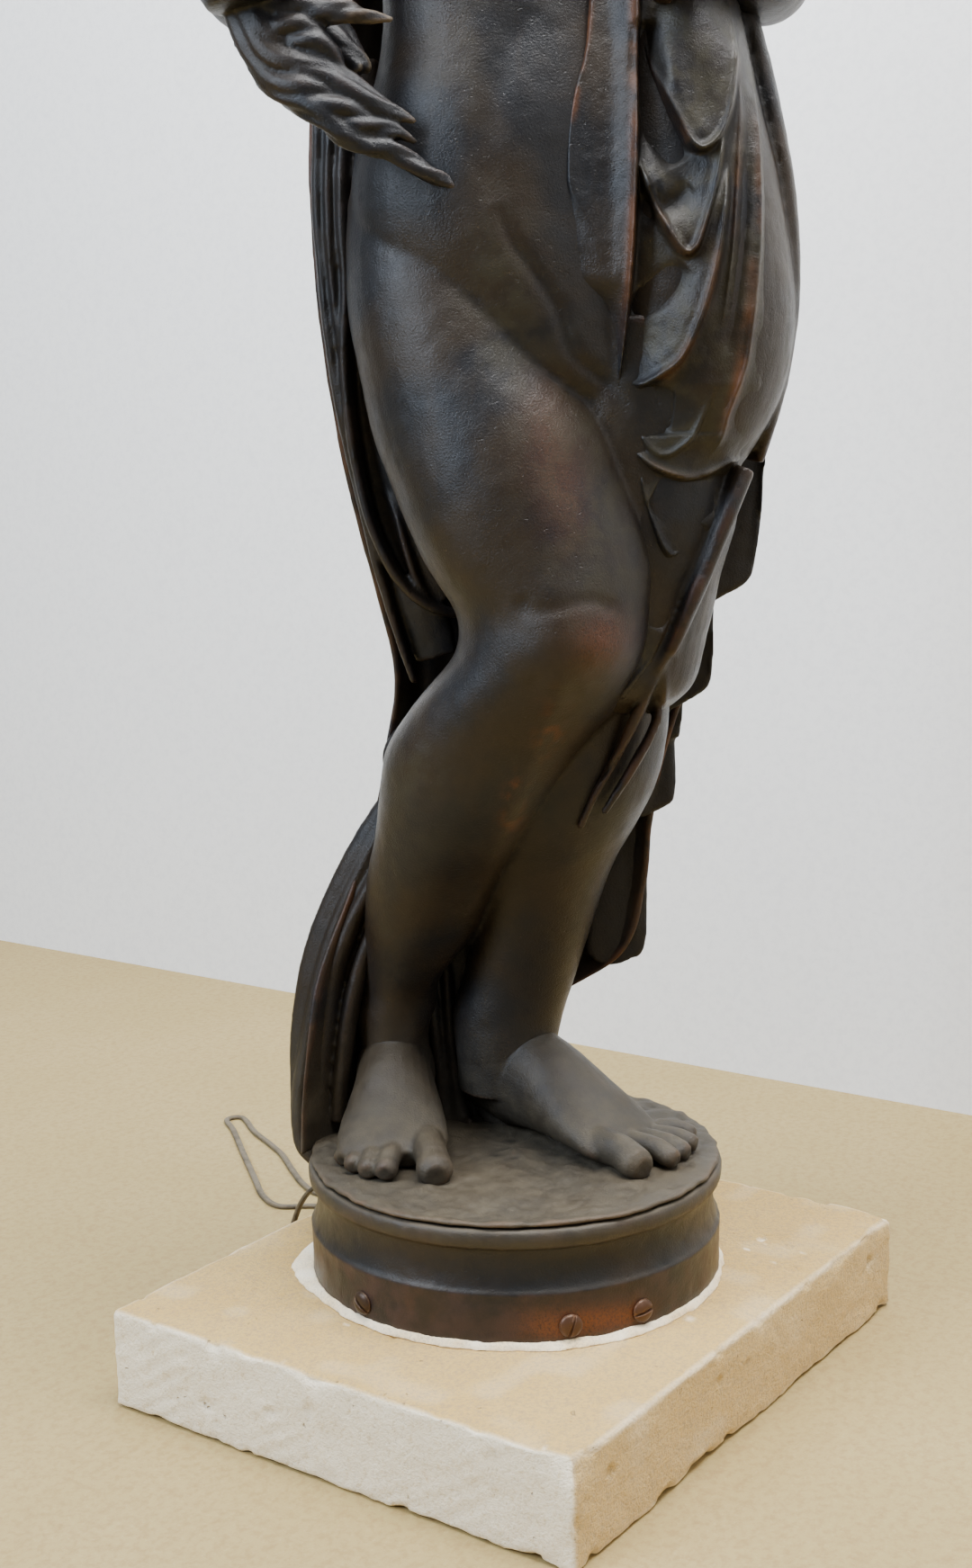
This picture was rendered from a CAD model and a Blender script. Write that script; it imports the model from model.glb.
import math

import bpy
import numpy as np
from mathutils import Matrix, Vector


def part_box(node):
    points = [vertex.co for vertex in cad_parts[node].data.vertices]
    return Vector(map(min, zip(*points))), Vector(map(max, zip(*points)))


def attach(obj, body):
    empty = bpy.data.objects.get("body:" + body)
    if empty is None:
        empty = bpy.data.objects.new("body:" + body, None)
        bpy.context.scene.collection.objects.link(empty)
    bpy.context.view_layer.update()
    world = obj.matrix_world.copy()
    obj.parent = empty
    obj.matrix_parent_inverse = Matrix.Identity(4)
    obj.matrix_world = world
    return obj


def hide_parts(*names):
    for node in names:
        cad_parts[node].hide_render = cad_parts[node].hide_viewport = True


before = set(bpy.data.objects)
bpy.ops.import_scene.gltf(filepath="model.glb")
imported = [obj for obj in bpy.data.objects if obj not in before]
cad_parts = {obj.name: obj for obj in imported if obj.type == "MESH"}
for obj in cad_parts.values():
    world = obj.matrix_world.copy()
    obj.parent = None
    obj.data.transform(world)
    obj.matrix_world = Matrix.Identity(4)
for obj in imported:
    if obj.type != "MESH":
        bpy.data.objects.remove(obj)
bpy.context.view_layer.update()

# A cast iron cupid on a hollow moulded ring, bedded on a rough stone slab. The figure's rows are in
# millimetres, seen from the front along +Y with the soles at zero, and turned once by FIGURE_TURN.

bl_info = {
    "name": "Cast iron cupid",
    "version": (1, 0, 0),
    "blender": (4, 5, 0),
    "location": "3D View > Sidebar > Cupid",
    "description": "Draped cupid in cast iron on a moulded ring and a rough stone slab",
    "category": "Add Mesh",
}

FIGURE_TURN = math.radians(-55.2)
SOLES = 0.1763
EYE = np.array([0.0, -1509.3, 544.9])
FOCAL_PIXELS = 2161.8
PHOTO_HEIGHT = 1743
SENSOR = 36.0
FOLD_PLANE = -90.0
MM = 0.001


# Curves and lofts


def between(rows, shares):
    """Smooth curve through rows of numbers, read at shares of its length by row."""
    rows = np.asarray(rows, float)
    last = len(rows) - 1
    place = np.clip(np.atleast_1d(shares), 0, 1) * last
    index = np.minimum(place.astype(int), last - 1)
    t = (place - index)[:, None]
    p, q, r, s = (rows[np.clip(index + step, 0, last)] for step in (-1, 0, 1, 2))
    slope, next_slope = (r - p) / 2, (s - q) / 2
    return (
        q
        + slope * t
        + (3 * (r - q) - 2 * slope - next_slope) * t**2
        + (2 * (q - r) + slope + next_slope) * t**3
    )


def skin(rings):
    """Closed shell through rings of points: an array of rings by sides by three."""
    rings = np.asarray(rings, float)
    count, sides = rings.shape[:2]
    i, j = np.meshgrid(np.arange(count - 1), np.arange(sides), indexing="ij")
    a, b = i * sides + j, i * sides + (j + 1) % sides
    faces = np.stack([a, b, b + sides, a + sides], -1).reshape(-1, 4).tolist()
    faces.append(list(range(sides))[::-1])
    faces.append([(count - 1) * sides + k for k in range(sides)])
    return rings.reshape(-1, 3), faces


def round_angles(sides):
    return np.arange(sides) * 2 * math.pi / sides


def limb(rows, rings=40, sides=32, yaw=0.0, square=1.0):
    """Upright limb from rows of x, y, z, half width and half depth, cut level."""
    x, y, z, wide, deep = between(rows, np.linspace(0, 1, rings)).T[:, :, None]
    angle = round_angles(sides)[None]
    c, s = np.cos(angle), np.sin(angle)
    across = wide * np.sign(c) * np.abs(c) ** square
    along = deep * np.sign(s) * np.abs(s) ** square
    cy, sy = math.cos(math.radians(yaw)), math.sin(math.radians(yaw))
    points = [x + across * cy - along * sy, y + across * sy + along * cy, z + 0 * c]
    return skin(np.stack(points, -1))


def stroke(rows, rings=16, sides=10, up=(0, 0, 1)):
    """Tapered form along a path of x, y, z, half width and half height, flat towards up."""
    shares = np.linspace(0, 1, rings)
    row = between(rows, shares)
    ahead = between(rows, shares + 0.01)[:, :3] - between(rows, shares - 0.01)[:, :3]
    ahead /= np.linalg.norm(ahead, axis=1)[:, None]
    across = np.cross(ahead, up)
    across /= np.linalg.norm(across, axis=1)[:, None]
    over = np.cross(across, ahead)
    angle = round_angles(sides)[None, :, None]
    return skin(
        row[:, None, :3]
        - across[:, None] * row[:, None, 3:4] * np.cos(angle)
        + over[:, None] * row[:, None, 4:5] * np.sin(angle)
    )


def ball(centre, radii, rings=14, sides=20):
    """Egg shape with its poles above and below."""
    v = np.linspace(0.02, 0.98, rings)[:, None] * math.pi
    u = round_angles(sides)[None]
    unit = np.stack([np.sin(v) * np.cos(u), np.sin(v) * np.sin(u), -np.cos(v) + 0 * u], -1)
    return skin(np.asarray(centre, float) + unit * np.asarray(radii, float))


def plate(outline, y, thickness, wave=0.0):
    """Hanging fold of cloth with the outline of x and z that shows from the front."""
    outline = np.asarray(outline, float)
    front = np.column_stack([outline[:, 0], y + 0 * outline[:, 0], outline[:, 1]])
    front[:, 1] += wave * np.sin(outline[:, 1] / 23)
    back = front + [0, thickness, 0]
    count = len(outline)
    faces = [[k, (k + 1) % count, (k + 1) % count + count, k + count] for k in range(count)]
    faces += [list(range(count))[::-1], [k + count for k in range(count)]]
    return np.vstack([front, back]), faces


def lathe(profile, sides, closed=False):
    """Turned form round Z from a profile of radius and level."""
    profile = np.asarray(profile, float)
    angle = round_angles(sides)
    rings = np.stack(
        [
            profile[:, :1] * np.cos(angle),
            profile[:, :1] * np.sin(angle),
            profile[:, 1:] + 0 * angle,
        ],
        -1,
    )
    if not closed:
        return skin(rings)
    points, faces = skin(np.concatenate([rings, rings[:1]]))
    count = len(profile) * sides
    return points[:count], [[v % count for v in face] for face in faces[:-2]]


def moved(shell, turn=None, shift=(0, 0, 0), scale=1.0):
    """The shell scaled, turned by a matrix and shifted."""
    points, faces = shell
    points = points * scale
    if turn is not None:
        points = points @ np.array(turn.to_3x3()).T
    return points + np.asarray(shift, float), faces


# Surfaces


def gather(shells):
    """One list of points and faces from several shells."""
    points, faces, count = [], [], 0
    for part_points, part_faces in shells:
        points.append(part_points)
        faces += [[v + count for v in face] for face in part_faces]
        count += len(part_points)
    return np.vstack(points), faces


def turned(u, v, angle):
    """Two coordinates turned together by an angle in radians."""
    c, s = math.cos(angle), math.sin(angle)
    return u * c - v * s, u * s + v * c


def to_frame(points):
    """Points of the figure's own frame, in millimetres, as metres in the row frame."""
    x, y = turned(points[:, 0], points[:, 1], FIGURE_TURN)
    return np.column_stack([x, y, points[:, 2]]) * MM + [0, 0, SOLES]


def read_points(mesh):
    points = np.empty(len(mesh.vertices) * 3, np.float32)
    mesh.vertices.foreach_get("co", points)
    return points.reshape(-1, 3).astype(float)


def read_edges(mesh):
    edges = np.empty(len(mesh.edges) * 2, np.int32)
    mesh.edges.foreach_get("vertices", edges)
    return edges.reshape(-1, 2)


def averaged(values, edges, count):
    """Mean of each point's neighbours, for each column of values."""
    a, b = np.concatenate([edges[:, 0], edges[:, 1]]), np.concatenate([edges[:, 1], edges[:, 0]])
    near = np.maximum(np.bincount(a, minlength=count), 1)
    return np.column_stack(
        [np.bincount(a, values[b, k], count) / near for k in range(values.shape[1])]
    )


def softened(points, edges, passes):
    """Points smoothed without shrinking the form."""
    for _ in range(passes):
        points = points + 0.6 * (averaged(points, edges, len(points)) - points)
        points = points - 0.62 * (averaged(points, edges, len(points)) - points)
    return points


def facing(points, mesh):
    """Outward unit normals of a mesh of triangles and quads at its points."""
    set_points(mesh, points)
    normals = np.empty(len(points) * 3, np.float32)
    mesh.vertices.foreach_get("normal", normals)
    return normals.reshape(-1, 3).astype(float)


LATTICE = np.random.default_rng(5).uniform(-1, 1, (32, 32, 32))


def noise(points, size, seed=0):
    """Smooth value noise from -1 to 1 with grains of the given size."""
    cell = np.asarray(points, float) / size + 5.37 * seed
    low = np.floor(cell).astype(int)
    t = cell - low
    t = t * t * (3 - 2 * t)
    total = 0
    for corner in np.ndindex(2, 2, 2):
        key = (low + corner) % len(LATTICE)
        weight = np.prod(np.where(corner, t, 1 - t), axis=1)
        total = total + LATTICE[key[:, 0], key[:, 1], key[:, 2]] * weight
    return total


def ramp(values, low, high):
    t = np.clip((values - low) / (high - low), 0, 1)
    return t * t * (3 - 2 * t)


def new_mesh(name, points, faces):
    mesh = bpy.data.meshes.new(name)
    mesh.from_pydata(points.tolist(), [], faces)
    return mesh


def set_points(mesh, points):
    mesh.vertices.foreach_set("co", np.ravel(points).astype(np.float32))
    mesh.update()


def keep_layer(mesh, name, values):
    layer = mesh.attributes.new(name, "FLOAT", "POINT")
    layer.data.foreach_set("value", np.clip(values, 0, 1).astype(np.float32))


def add_object(name, mesh, material, node):
    """A smooth shaded piece that rides on the part and stands for its CAD node."""
    piece = bpy.data.objects.new(name, mesh)
    bpy.context.scene.collection.objects.link(piece)
    mesh.materials.clear()
    mesh.materials.append(material)
    mesh.polygons.foreach_set("use_smooth", [True] * len(mesh.polygons))
    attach(piece, "root")
    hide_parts(node)
    return piece


def fused(name, shells, voxel):
    """One closed skin round overlapping shells, as a mesh in millimetres."""
    points, faces = gather(shells)
    rough = new_mesh(name, points, faces)
    holder = bpy.data.objects.new(name, rough)
    bpy.context.scene.collection.objects.link(holder)
    remesh = holder.modifiers.new("Fuse", "REMESH")
    remesh.mode = "VOXEL"
    remesh.voxel_size = voxel
    graph = bpy.context.evaluated_depsgraph_get()
    mesh = bpy.data.meshes.new_from_object(holder.evaluated_get(graph), depsgraph=graph)
    bpy.data.objects.remove(holder)
    bpy.data.meshes.remove(rough)
    mesh.name = name
    return mesh


def curvature(points, normals, edges, voxel):
    """How far each point stands out from its neighbours, about -1 in a hollow to 1 on a ridge."""
    out = ((points - averaged(points, edges, len(points))) * normals).sum(1, keepdims=True)
    for _ in range(3):
        out = 0.5 * out + 0.5 * averaged(out, edges, len(out))
    return np.clip(out[:, 0] / (0.12 * voxel), -1, 1)


def seen(points):
    """Where the line of sight to each point crosses the plane of the folds, as x and z."""
    t = ((FOLD_PLANE - EYE[1]) / (points[:, 1] - EYE[1]))[:, None]
    crossing = EYE + (points - EYE) * t
    return crossing[:, [0, 2]]


def near_line(places, line):
    """Distance from each place to a bent line, below zero on its right, and the share along it."""
    line = between(line, np.linspace(0, 1, 4 * len(line)))
    best, along, side = np.full(len(places), 1e9), np.zeros(len(places)), np.ones(len(places))
    for k in range(len(line) - 1):
        step = line[k + 1] - line[k]
        to_place = places - line[k]
        t = np.clip((to_place @ step) / (step @ step), 0, 1)
        away = np.linalg.norm(to_place - t[:, None] * step, axis=1)
        closer = away < best
        best[closer] = away[closer]
        along[closer] = (k + t[closer]) / (len(line) - 1)
        side[closer] = np.sign(step[0] * to_place[closer, 1] - step[1] * to_place[closer, 0])
    return best * side, along


def front_of(points, normals):
    """One where the surface faces the eye, falling to nothing round its outline."""
    to_eye = EYE - points
    to_eye /= np.linalg.norm(to_eye, axis=1)[:, None]
    return ramp((normals * to_eye).sum(1), 0.05, 0.4)


def end_taper(along, reach=0.16):
    return np.clip(np.minimum(along, 1 - along) / reach, 0, 1) ** 0.7


def cut_lines(points, normals, lines):
    """How far the front of the surface rises or sinks at drawn folds: rows of line, width, rise."""
    places, front = seen(points), front_of(points, normals)
    total = np.zeros(len(points))
    for line, width, rise in lines:
        away, along = near_line(places, line)
        total += rise * np.exp(-((away / width) ** 2)) * end_taper(along) * front
    return total


def bumps(points, forms):
    """Soft rounded forms: rows of centre, radii and rise."""
    total = np.zeros(len(points))
    for centre, radii, rise in forms:
        away = (points - centre) / np.asarray(radii, float)
        total += rise * np.exp(-(away**2).sum(1))
    return total


def cast(name, shells, voxel, passes, material, carve=None, stain=None):
    """A piece of the casting: shells fused, softened, carved and marked with its wear."""
    mesh = fused(name, shells, voxel)
    edges = read_edges(mesh)
    points = softened(read_points(mesh), edges, passes)
    if carve is not None:
        normals = facing(points, mesh)
        points = points + normals * carve(points, normals)[:, None]
    points = points + facing(points, mesh) * (0.25 * noise(points, 9) + 0.4 * noise(points, 31, 2))[:, None]
    normals = facing(points, mesh)
    return casting(name, mesh, points, normals, voxel, material, stain)


def casting(name, mesh, points, normals, voxel, material, stain=None):
    """A mesh of the figure marked with its wear and put in its place."""
    mark(mesh, points, normals, curvature(points, normals, read_edges(mesh), voxel), stain)
    set_points(mesh, to_frame(points))
    return add_object(name, mesh, material, "cupid_figure")


def mark(mesh, points, normals, curve, stain=None):
    """Keeps where the casting is rubbed, hollow, dusty, warm and rusty for its finish."""
    low = ramp(-points[:, 2], -120, 10)
    layers = {
        "rubbed": ramp(curve, 0.25, 0.95) * (0.55 + 0.45 * noise(points, 40, 3)),
        "hollow": ramp(-curve, 0.1, 0.9),
        "dusty": low * (0.75 + 0.25 * noise(points, 12, 5)) + 0.3 * ramp(normals[:, 2], 0.6, 1),
        "warm": ramp(noise(points, 130, 7) + 0.3 * noise(points, 35, 8), 0.1, 0.9),
        "rusty": np.zeros(len(points)),
    }
    if stain is not None:
        stain(layers, points, normals)
    for name, values in layers.items():
        keep_layer(mesh, name, values)


# Finishes


class Wiring:
    """Short hand for placing and joining shader nodes in a tree."""

    def __init__(self, tree):
        self.tree = tree

    def add(self, kind, **settings):
        node = self.tree.nodes.new(kind)
        for key, value in settings.items():
            setattr(node, key, value)
        return node

    def feed(self, node, **inputs):
        for key, value in inputs.items():
            numbered = key[0] == "n" and key[1:].isdigit()
            socket = node.inputs[int(key[1:]) if numbered else key.replace("_", " ")]
            if isinstance(value, bpy.types.NodeSocket):
                self.tree.links.new(value, socket)
            else:
                socket.default_value = value
        return node

    def grain(self, vector, scale, detail=4.0, rough=0.55):
        node = self.feed(
            self.add("ShaderNodeTexNoise"), Vector=vector, Scale=scale, Detail=detail, Roughness=rough
        )
        return node.outputs["Fac"]

    def sum(self, kind, a, b):
        return self.feed(self.add("ShaderNodeMath", operation=kind), n0=a, n1=b).outputs[0]

    def step(self, value, low, high, start=0.0, end=1.0):
        node = self.add("ShaderNodeMapRange", interpolation_type="SMOOTHSTEP")
        self.feed(node, Value=value, From_Min=low, From_Max=high, To_Min=start, To_Max=end)
        return node.outputs["Result"]

    def mix(self, share, a, b):
        node = self.add("ShaderNodeMix", data_type="RGBA")
        self.feed(node, n0=share, n6=a, n7=b)
        return node.outputs[2]

    def layer(self, name):
        return self.add("ShaderNodeAttribute", attribute_name=name).outputs["Fac"]


def node_group(name, inputs, outputs):
    """An empty shader node group with named sockets."""
    tree = bpy.data.node_groups.new(name, "ShaderNodeTree")
    for label, kind, value in inputs:
        socket = tree.interface.new_socket(label, in_out="INPUT", socket_type=kind)
        if value is not None:
            socket.default_value = value
    for label, kind in outputs:
        tree.interface.new_socket(label, in_out="OUTPUT", socket_type=kind)
    wiring = Wiring(tree)
    return tree, wiring, wiring.add("NodeGroupInput").outputs, wiring.add("NodeGroupOutput")


COLOUR, NUMBER, ARROW = "NodeSocketColor", "NodeSocketFloat", "NodeSocketVector"


def patina_group():
    """Dark waxed iron with warm and olive patches, rubbed ridges, rust, dust and a fine cast skin."""
    tree, w, given, out = node_group(
        "Iron patina",
        [
            ("Place", ARROW, None),
            ("Dark", COLOUR, (0.012, 0.011, 0.011, 1)),
            ("Brown", COLOUR, (0.03, 0.019, 0.013, 1)),
            ("Olive", COLOUR, (0.03, 0.026, 0.0165, 1)),
            ("Rubbed colour", COLOUR, (0.12, 0.045, 0.018, 1)),
            ("Rust colour", COLOUR, (0.14, 0.04, 0.014, 1)),
            ("Dust colour", COLOUR, (0.105, 0.086, 0.056, 1)),
            ("Rubbed", NUMBER, 0.0),
            ("Hollow", NUMBER, 0.0),
            ("Dusty", NUMBER, 0.0),
            ("Warm", NUMBER, 0.0),
            ("Rusty", NUMBER, 0.0),
        ],
        [("Colour", COLOUR), ("Roughness", NUMBER), ("Height", NUMBER)],
    )
    place = given["Place"]
    broad = w.grain(place, 9.0, 3.0)
    middle = w.grain(place, 45.0, 5.0, 0.6)
    fine = w.grain(place, 620.0, 4.0, 0.65)
    streak_place = w.feed(
        w.add("ShaderNodeVectorMath", operation="MULTIPLY"), n0=place, n1=(60, 60, 7)
    ).outputs[0]
    streak = w.grain(streak_place, 1.0, 4.0, 0.6)
    colour = w.mix(w.step(broad, 0.4, 0.62), given["Dark"], given["Brown"])
    colour = w.mix(w.sum("MULTIPLY", given["Warm"], w.step(middle, 0.35, 0.65)), colour, given["Olive"])
    colour = w.mix(w.sum("MULTIPLY", w.step(streak, 0.5, 0.75), 0.35), colour, given["Brown"])
    rubbed = w.sum("MULTIPLY", given["Rubbed"], w.step(middle, 0.3, 0.6))
    colour = w.mix(w.sum("MULTIPLY", rubbed, 0.65), colour, given["Rubbed colour"])
    rusty = w.sum("MULTIPLY", given["Rusty"], w.step(fine, 0.25, 0.6))
    colour = w.mix(rusty, colour, given["Rust colour"])
    dusty = w.sum("MULTIPLY", given["Dusty"], w.step(w.grain(place, 60.0, 8.0, 0.75), 0.2, 0.8, 0.35, 1.0))
    colour = w.mix(w.sum("MULTIPLY", dusty, 0.85), colour, given["Dust colour"])
    colour = w.mix(w.sum("MULTIPLY", given["Hollow"], 0.8), colour, (0.005, 0.004, 0.004, 1))
    rough = w.step(middle, 0.25, 0.8, 0.29, 0.44)
    rough = w.sum("ADD", rough, w.sum("MULTIPLY", dusty, 0.35))
    rough = w.sum("ADD", rough, w.sum("MULTIPLY", given["Hollow"], 0.15))
    rough = w.sum("SUBTRACT", rough, w.sum("MULTIPLY", rubbed, 0.05))
    height = w.sum("ADD", w.sum("MULTIPLY", middle, 0.4), w.sum("MULTIPLY", fine, 0.6))
    pits = w.step(w.grain(place, 260.0, 2.0, 0.5), 0.66, 0.74)
    height = w.sum("SUBTRACT", height, w.sum("MULTIPLY", pits, 0.2))
    w.feed(out, Colour=colour, Roughness=rough, Height=height)
    return tree


def stone_group():
    """Sawn limestone: sandy grains in two colours, pits, pale bruises and a gritty height."""
    tree, w, given, out = node_group(
        "Stone grain",
        [
            ("Place", ARROW, None),
            ("Base", COLOUR, (0.55, 0.43, 0.27, 1)),
            ("Pale", COLOUR, (0.68, 0.52, 0.27, 1)),
            ("Stain", COLOUR, (0.35, 0.25, 0.14, 1)),
            ("Paleness", NUMBER, 0.0),
            ("Scale", NUMBER, 1.0),
        ],
        [("Colour", COLOUR), ("Height", NUMBER)],
    )
    place = w.feed(
        w.add("ShaderNodeVectorMath", operation="SCALE"), n0=given["Place"], Scale=given["Scale"]
    ).outputs[0]
    grit = w.grain(place, 700.0, 3.0, 0.7)
    sand = w.grain(place, 330.0, 3.0, 0.75)
    crumb = w.grain(place, 160.0, 6.0, 0.7)
    cloud = w.grain(place, 14.0, 4.0, 0.6)
    colour = w.mix(w.step(cloud, 0.35, 0.7), given["Base"], w.mix(0.14, given["Base"], given["Pale"]))
    colour = w.mix(w.sum("MULTIPLY", w.step(crumb, 0.5, 0.72), 0.55), colour, given["Stain"])
    colour = w.mix(w.sum("MULTIPLY", w.step(grit, 0.52, 0.75), 0.35), colour, given["Pale"])
    colour = w.mix(w.sum("MULTIPLY", w.step(sand, 0.56, 0.38), 0.5), colour, given["Stain"])
    colour = w.mix(
        given["Paleness"], colour, w.mix(w.step(crumb, 0.2, 0.5), given["Pale"], (0.95, 0.85, 0.66, 1))
    )
    colour = w.mix(w.sum("MULTIPLY", w.step(sand, 0.46, 0.3), 0.3), colour, given["Stain"])
    pits = w.step(w.grain(place, 95.0, 3.0, 0.6), 0.7, 0.76)
    colour = w.mix(w.sum("MULTIPLY", pits, 0.5), colour, given["Stain"])
    height = w.sum("ADD", w.sum("MULTIPLY", crumb, 0.5), w.sum("MULTIPLY", sand, 0.6))
    height = w.sum("SUBTRACT", height, w.sum("MULTIPLY", pits, 0.8))
    w.feed(out, Colour=colour, Height=height)
    return tree


def scuff_group():
    """Moulded or sheathed plastic with faint grime and small scuffs."""
    tree, w, given, out = node_group(
        "Scuffs",
        [
            ("Place", ARROW, None),
            ("Clean", COLOUR, (0.1, 0.08, 0.05, 1)),
            ("Grime", COLOUR, (0.05, 0.04, 0.03, 1)),
            ("Roughness", NUMBER, 0.5),
        ],
        [("Colour", COLOUR), ("Roughness", NUMBER), ("Height", NUMBER)],
    )
    cloud = w.grain(given["Place"], 60.0, 5.0, 0.65)
    fine = w.grain(given["Place"], 900.0, 3.0, 0.6)
    colour = w.mix(w.step(cloud, 0.45, 0.75), given["Clean"], given["Grime"])
    rough = w.sum("ADD", given["Roughness"], w.step(cloud, 0.3, 0.7, -0.06, 0.12))
    w.feed(out, Colour=colour, Roughness=rough, Height=w.sum("ADD", w.sum("MULTIPLY", cloud, 0.4), fine))
    return tree


def finish_of(name, group, inputs, metal, bump, reach, rough=None, layers=()):
    """A material whose shader takes its colour, roughness and relief from a shared group."""
    material = bpy.data.materials.new(name)
    material.use_nodes = True
    material.node_tree.nodes.clear()
    w = Wiring(material.node_tree)
    place = w.add("ShaderNodeTexCoord").outputs["Object"]
    effect = w.add("ShaderNodeGroup", node_tree=group)
    w.feed(effect, Place=place, **inputs)
    for label in layers:
        w.tree.links.new(w.layer(label.lower()), effect.inputs[label])
    shader = w.add("ShaderNodeBsdfPrincipled")
    w.feed(shader, Base_Color=effect.outputs["Colour"], Metallic=metal, Specular_IOR_Level=0.3)
    if rough is None:
        w.feed(shader, Roughness=effect.outputs["Roughness"])
    else:
        w.feed(shader, Roughness=rough)
    relief = w.feed(w.add("ShaderNodeBump"), Strength=bump, Distance=reach, Height=effect.outputs["Height"])
    w.feed(shader, Normal=relief.outputs["Normal"])
    w.feed(w.add("ShaderNodeOutputMaterial"), Surface=shader.outputs[0])
    return material


GROUPS = {}
PATINA_LAYERS = ("Rubbed", "Hollow", "Dusty", "Warm", "Rusty")


def shared(name):
    """The shared node group of that name, made once."""
    makers = {"patina": patina_group, "stone": stone_group, "scuffs": scuff_group}
    if name not in GROUPS:
        GROUPS[name] = makers[name]()
    return GROUPS[name]


def patina_finish(name, inputs, metal, bump, reach):
    """The iron finish of that name, made once."""
    found = bpy.data.materials.get(name)
    return found or finish_of(name, shared("patina"), inputs, metal, bump, reach, layers=PATINA_LAYERS)


def iron_finish():
    sizes = bpy.context.scene.cupid_figure
    inputs = {"Dark": (*sizes.patina_dark, 1), "Brown": (*sizes.patina_brown, 1)}
    return patina_finish("dark iron patina", inputs, 0.05, 0.7, 0.0012)


# Figure rows

RIGHT_LEG = [
    [-99, 68, 60, 29, 36], [-99, 67, 96, 29, 36], [-93, 62, 123, 31, 35], [-77, 50, 164, 44, 44],
    [-61, 35, 216, 55, 58], [-43, 18, 256, 63, 68], [-29, 5, 291, 71, 74], [-15, -8, 329, 78, 75],
    [8, -25, 366, 79, 76], [31, -42, 405, 71, 76], [34, -40, 437, 72, 78], [24, -31, 476, 85, 86],
    [9, -20, 530, 94, 94], [-3, -12, 573, 97, 96], [-25, -5, 618, 84, 93], [-36, 0, 658, 80, 90],
    [-46, 4, 700, 71, 84], [-54, 6, 745, 60, 74],
]
LEFT_LEG = [
    [-6, 66, 50, 40, 40], [-6, 66, 66, 42, 42], [-3, 66, 95, 46, 42], [8, 64, 133, 47, 44],
    [20, 56, 180, 49, 50], [27, 48, 226, 57, 60], [33, 40, 260, 68, 70], [44, 33, 296, 74, 74],
    [58, 26, 335, 68, 70], [64, 20, 374, 65, 68], [72, 18, 410, 66, 70], [84, 14, 470, 74, 78],
    [96, 8, 560, 82, 86], [104, 4, 650, 84, 90],
]
TRUNK = [
    [76, -22, 578, 34, 44], [62, -14, 612, 78, 66], [46, 0, 655, 118, 86], [30, 6, 700, 136, 96],
    [24, 6, 745, 138, 95], [24, 2, 795, 126, 88], [22, -1, 845, 110, 80], [18, -2, 890, 104, 77],
    [13, -1, 935, 108, 79], [9, 0, 985, 118, 84], [6, 2, 1040, 127, 86], [6, 4, 1086, 126, 78],
    [8, 6, 1118, 100, 64], [12, 4, 1140, 60, 48], [14, 0, 1160, 42, 41], [15, -6, 1200, 38, 40],
]
RIGHT_ARM = [
    [-86, 8, 1112, 26, 34], [-122, 14, 1082, 44, 46], [-144, 26, 1020, 44, 44],
    [-166, 44, 958, 38, 38], [-182, 46, 914, 37, 39], [-188, 12, 912, 37, 37],
    [-190, -30, 934, 34, 34], [-190, -64, 958, 25, 25],
]
LEFT_ARM = [
    [96, 30, 1112, 26, 34], [134, 40, 1082, 44, 46], [160, 48, 1018, 44, 44],
    [184, 50, 955, 38, 38], [198, 36, 912, 37, 39], [194, -6, 902, 36, 36],
    [176, -44, 906, 32, 32], [158, -74, 912, 24, 24],
]
RIGHT_SOLE = [
    [-98, 116, 18, 12, 12], [-98, 106, 26, 28, 26], [-99, 72, 42, 33, 44], [-98, 38, 40, 33, 40],
    [-97, 6, 28, 40, 30], [-97, -22, 19, 44, 20], [-97, -44, 13, 42, 13], [-97, -54, 10, 34, 8],
]
RIGHT_TOES = [
    [[-70, -34, 14], [-60, -88, 10], 15], [[-93, -38, 12], [-101, -79, 9], 10],
    [[-107, -36, 11], [-115, -73, 8], 9], [[-119, -30, 10], [-127, -62, 8], 8.5],
    [[-129, -20, 10], [-136, -46, 8], 8.5],
]
LEFT_SOLE = [
    [-30, 102, 18, 12, 12], [-24, 94, 26, 27, 26], [-4, 68, 42, 34, 44], [22, 40, 42, 35, 42],
    [50, 12, 31, 40, 30], [74, -14, 20, 43, 19], [88, -28, 13, 41, 12], [94, -34, 10, 34, 8],
]
LEFT_TOES = [
    [[66, -38, 14], [100, -77, 10], 15], [[92, -32, 12], [127, -58, 9], 10],
    [[104, -22, 11], [138, -40, 8], 9], [[112, -10, 10], [146, -20, 8], 8.5],
    [[116, 4, 10], [147, 2, 8], 8.5],
]
GROIN = [(-2, 728), (9, 700), (27, 675), (40, 653), (49, 625), (59, 614), (78, 599), (91, 580)]
BELLY_LINE = [(19, 861), (7, 828), (-3, 801), (-9, 762), (-4, 728)]
SHIN = [(36, 382), (20, 340), (0, 290), (-30, 220), (-62, 150), (-84, 100)]


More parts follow.
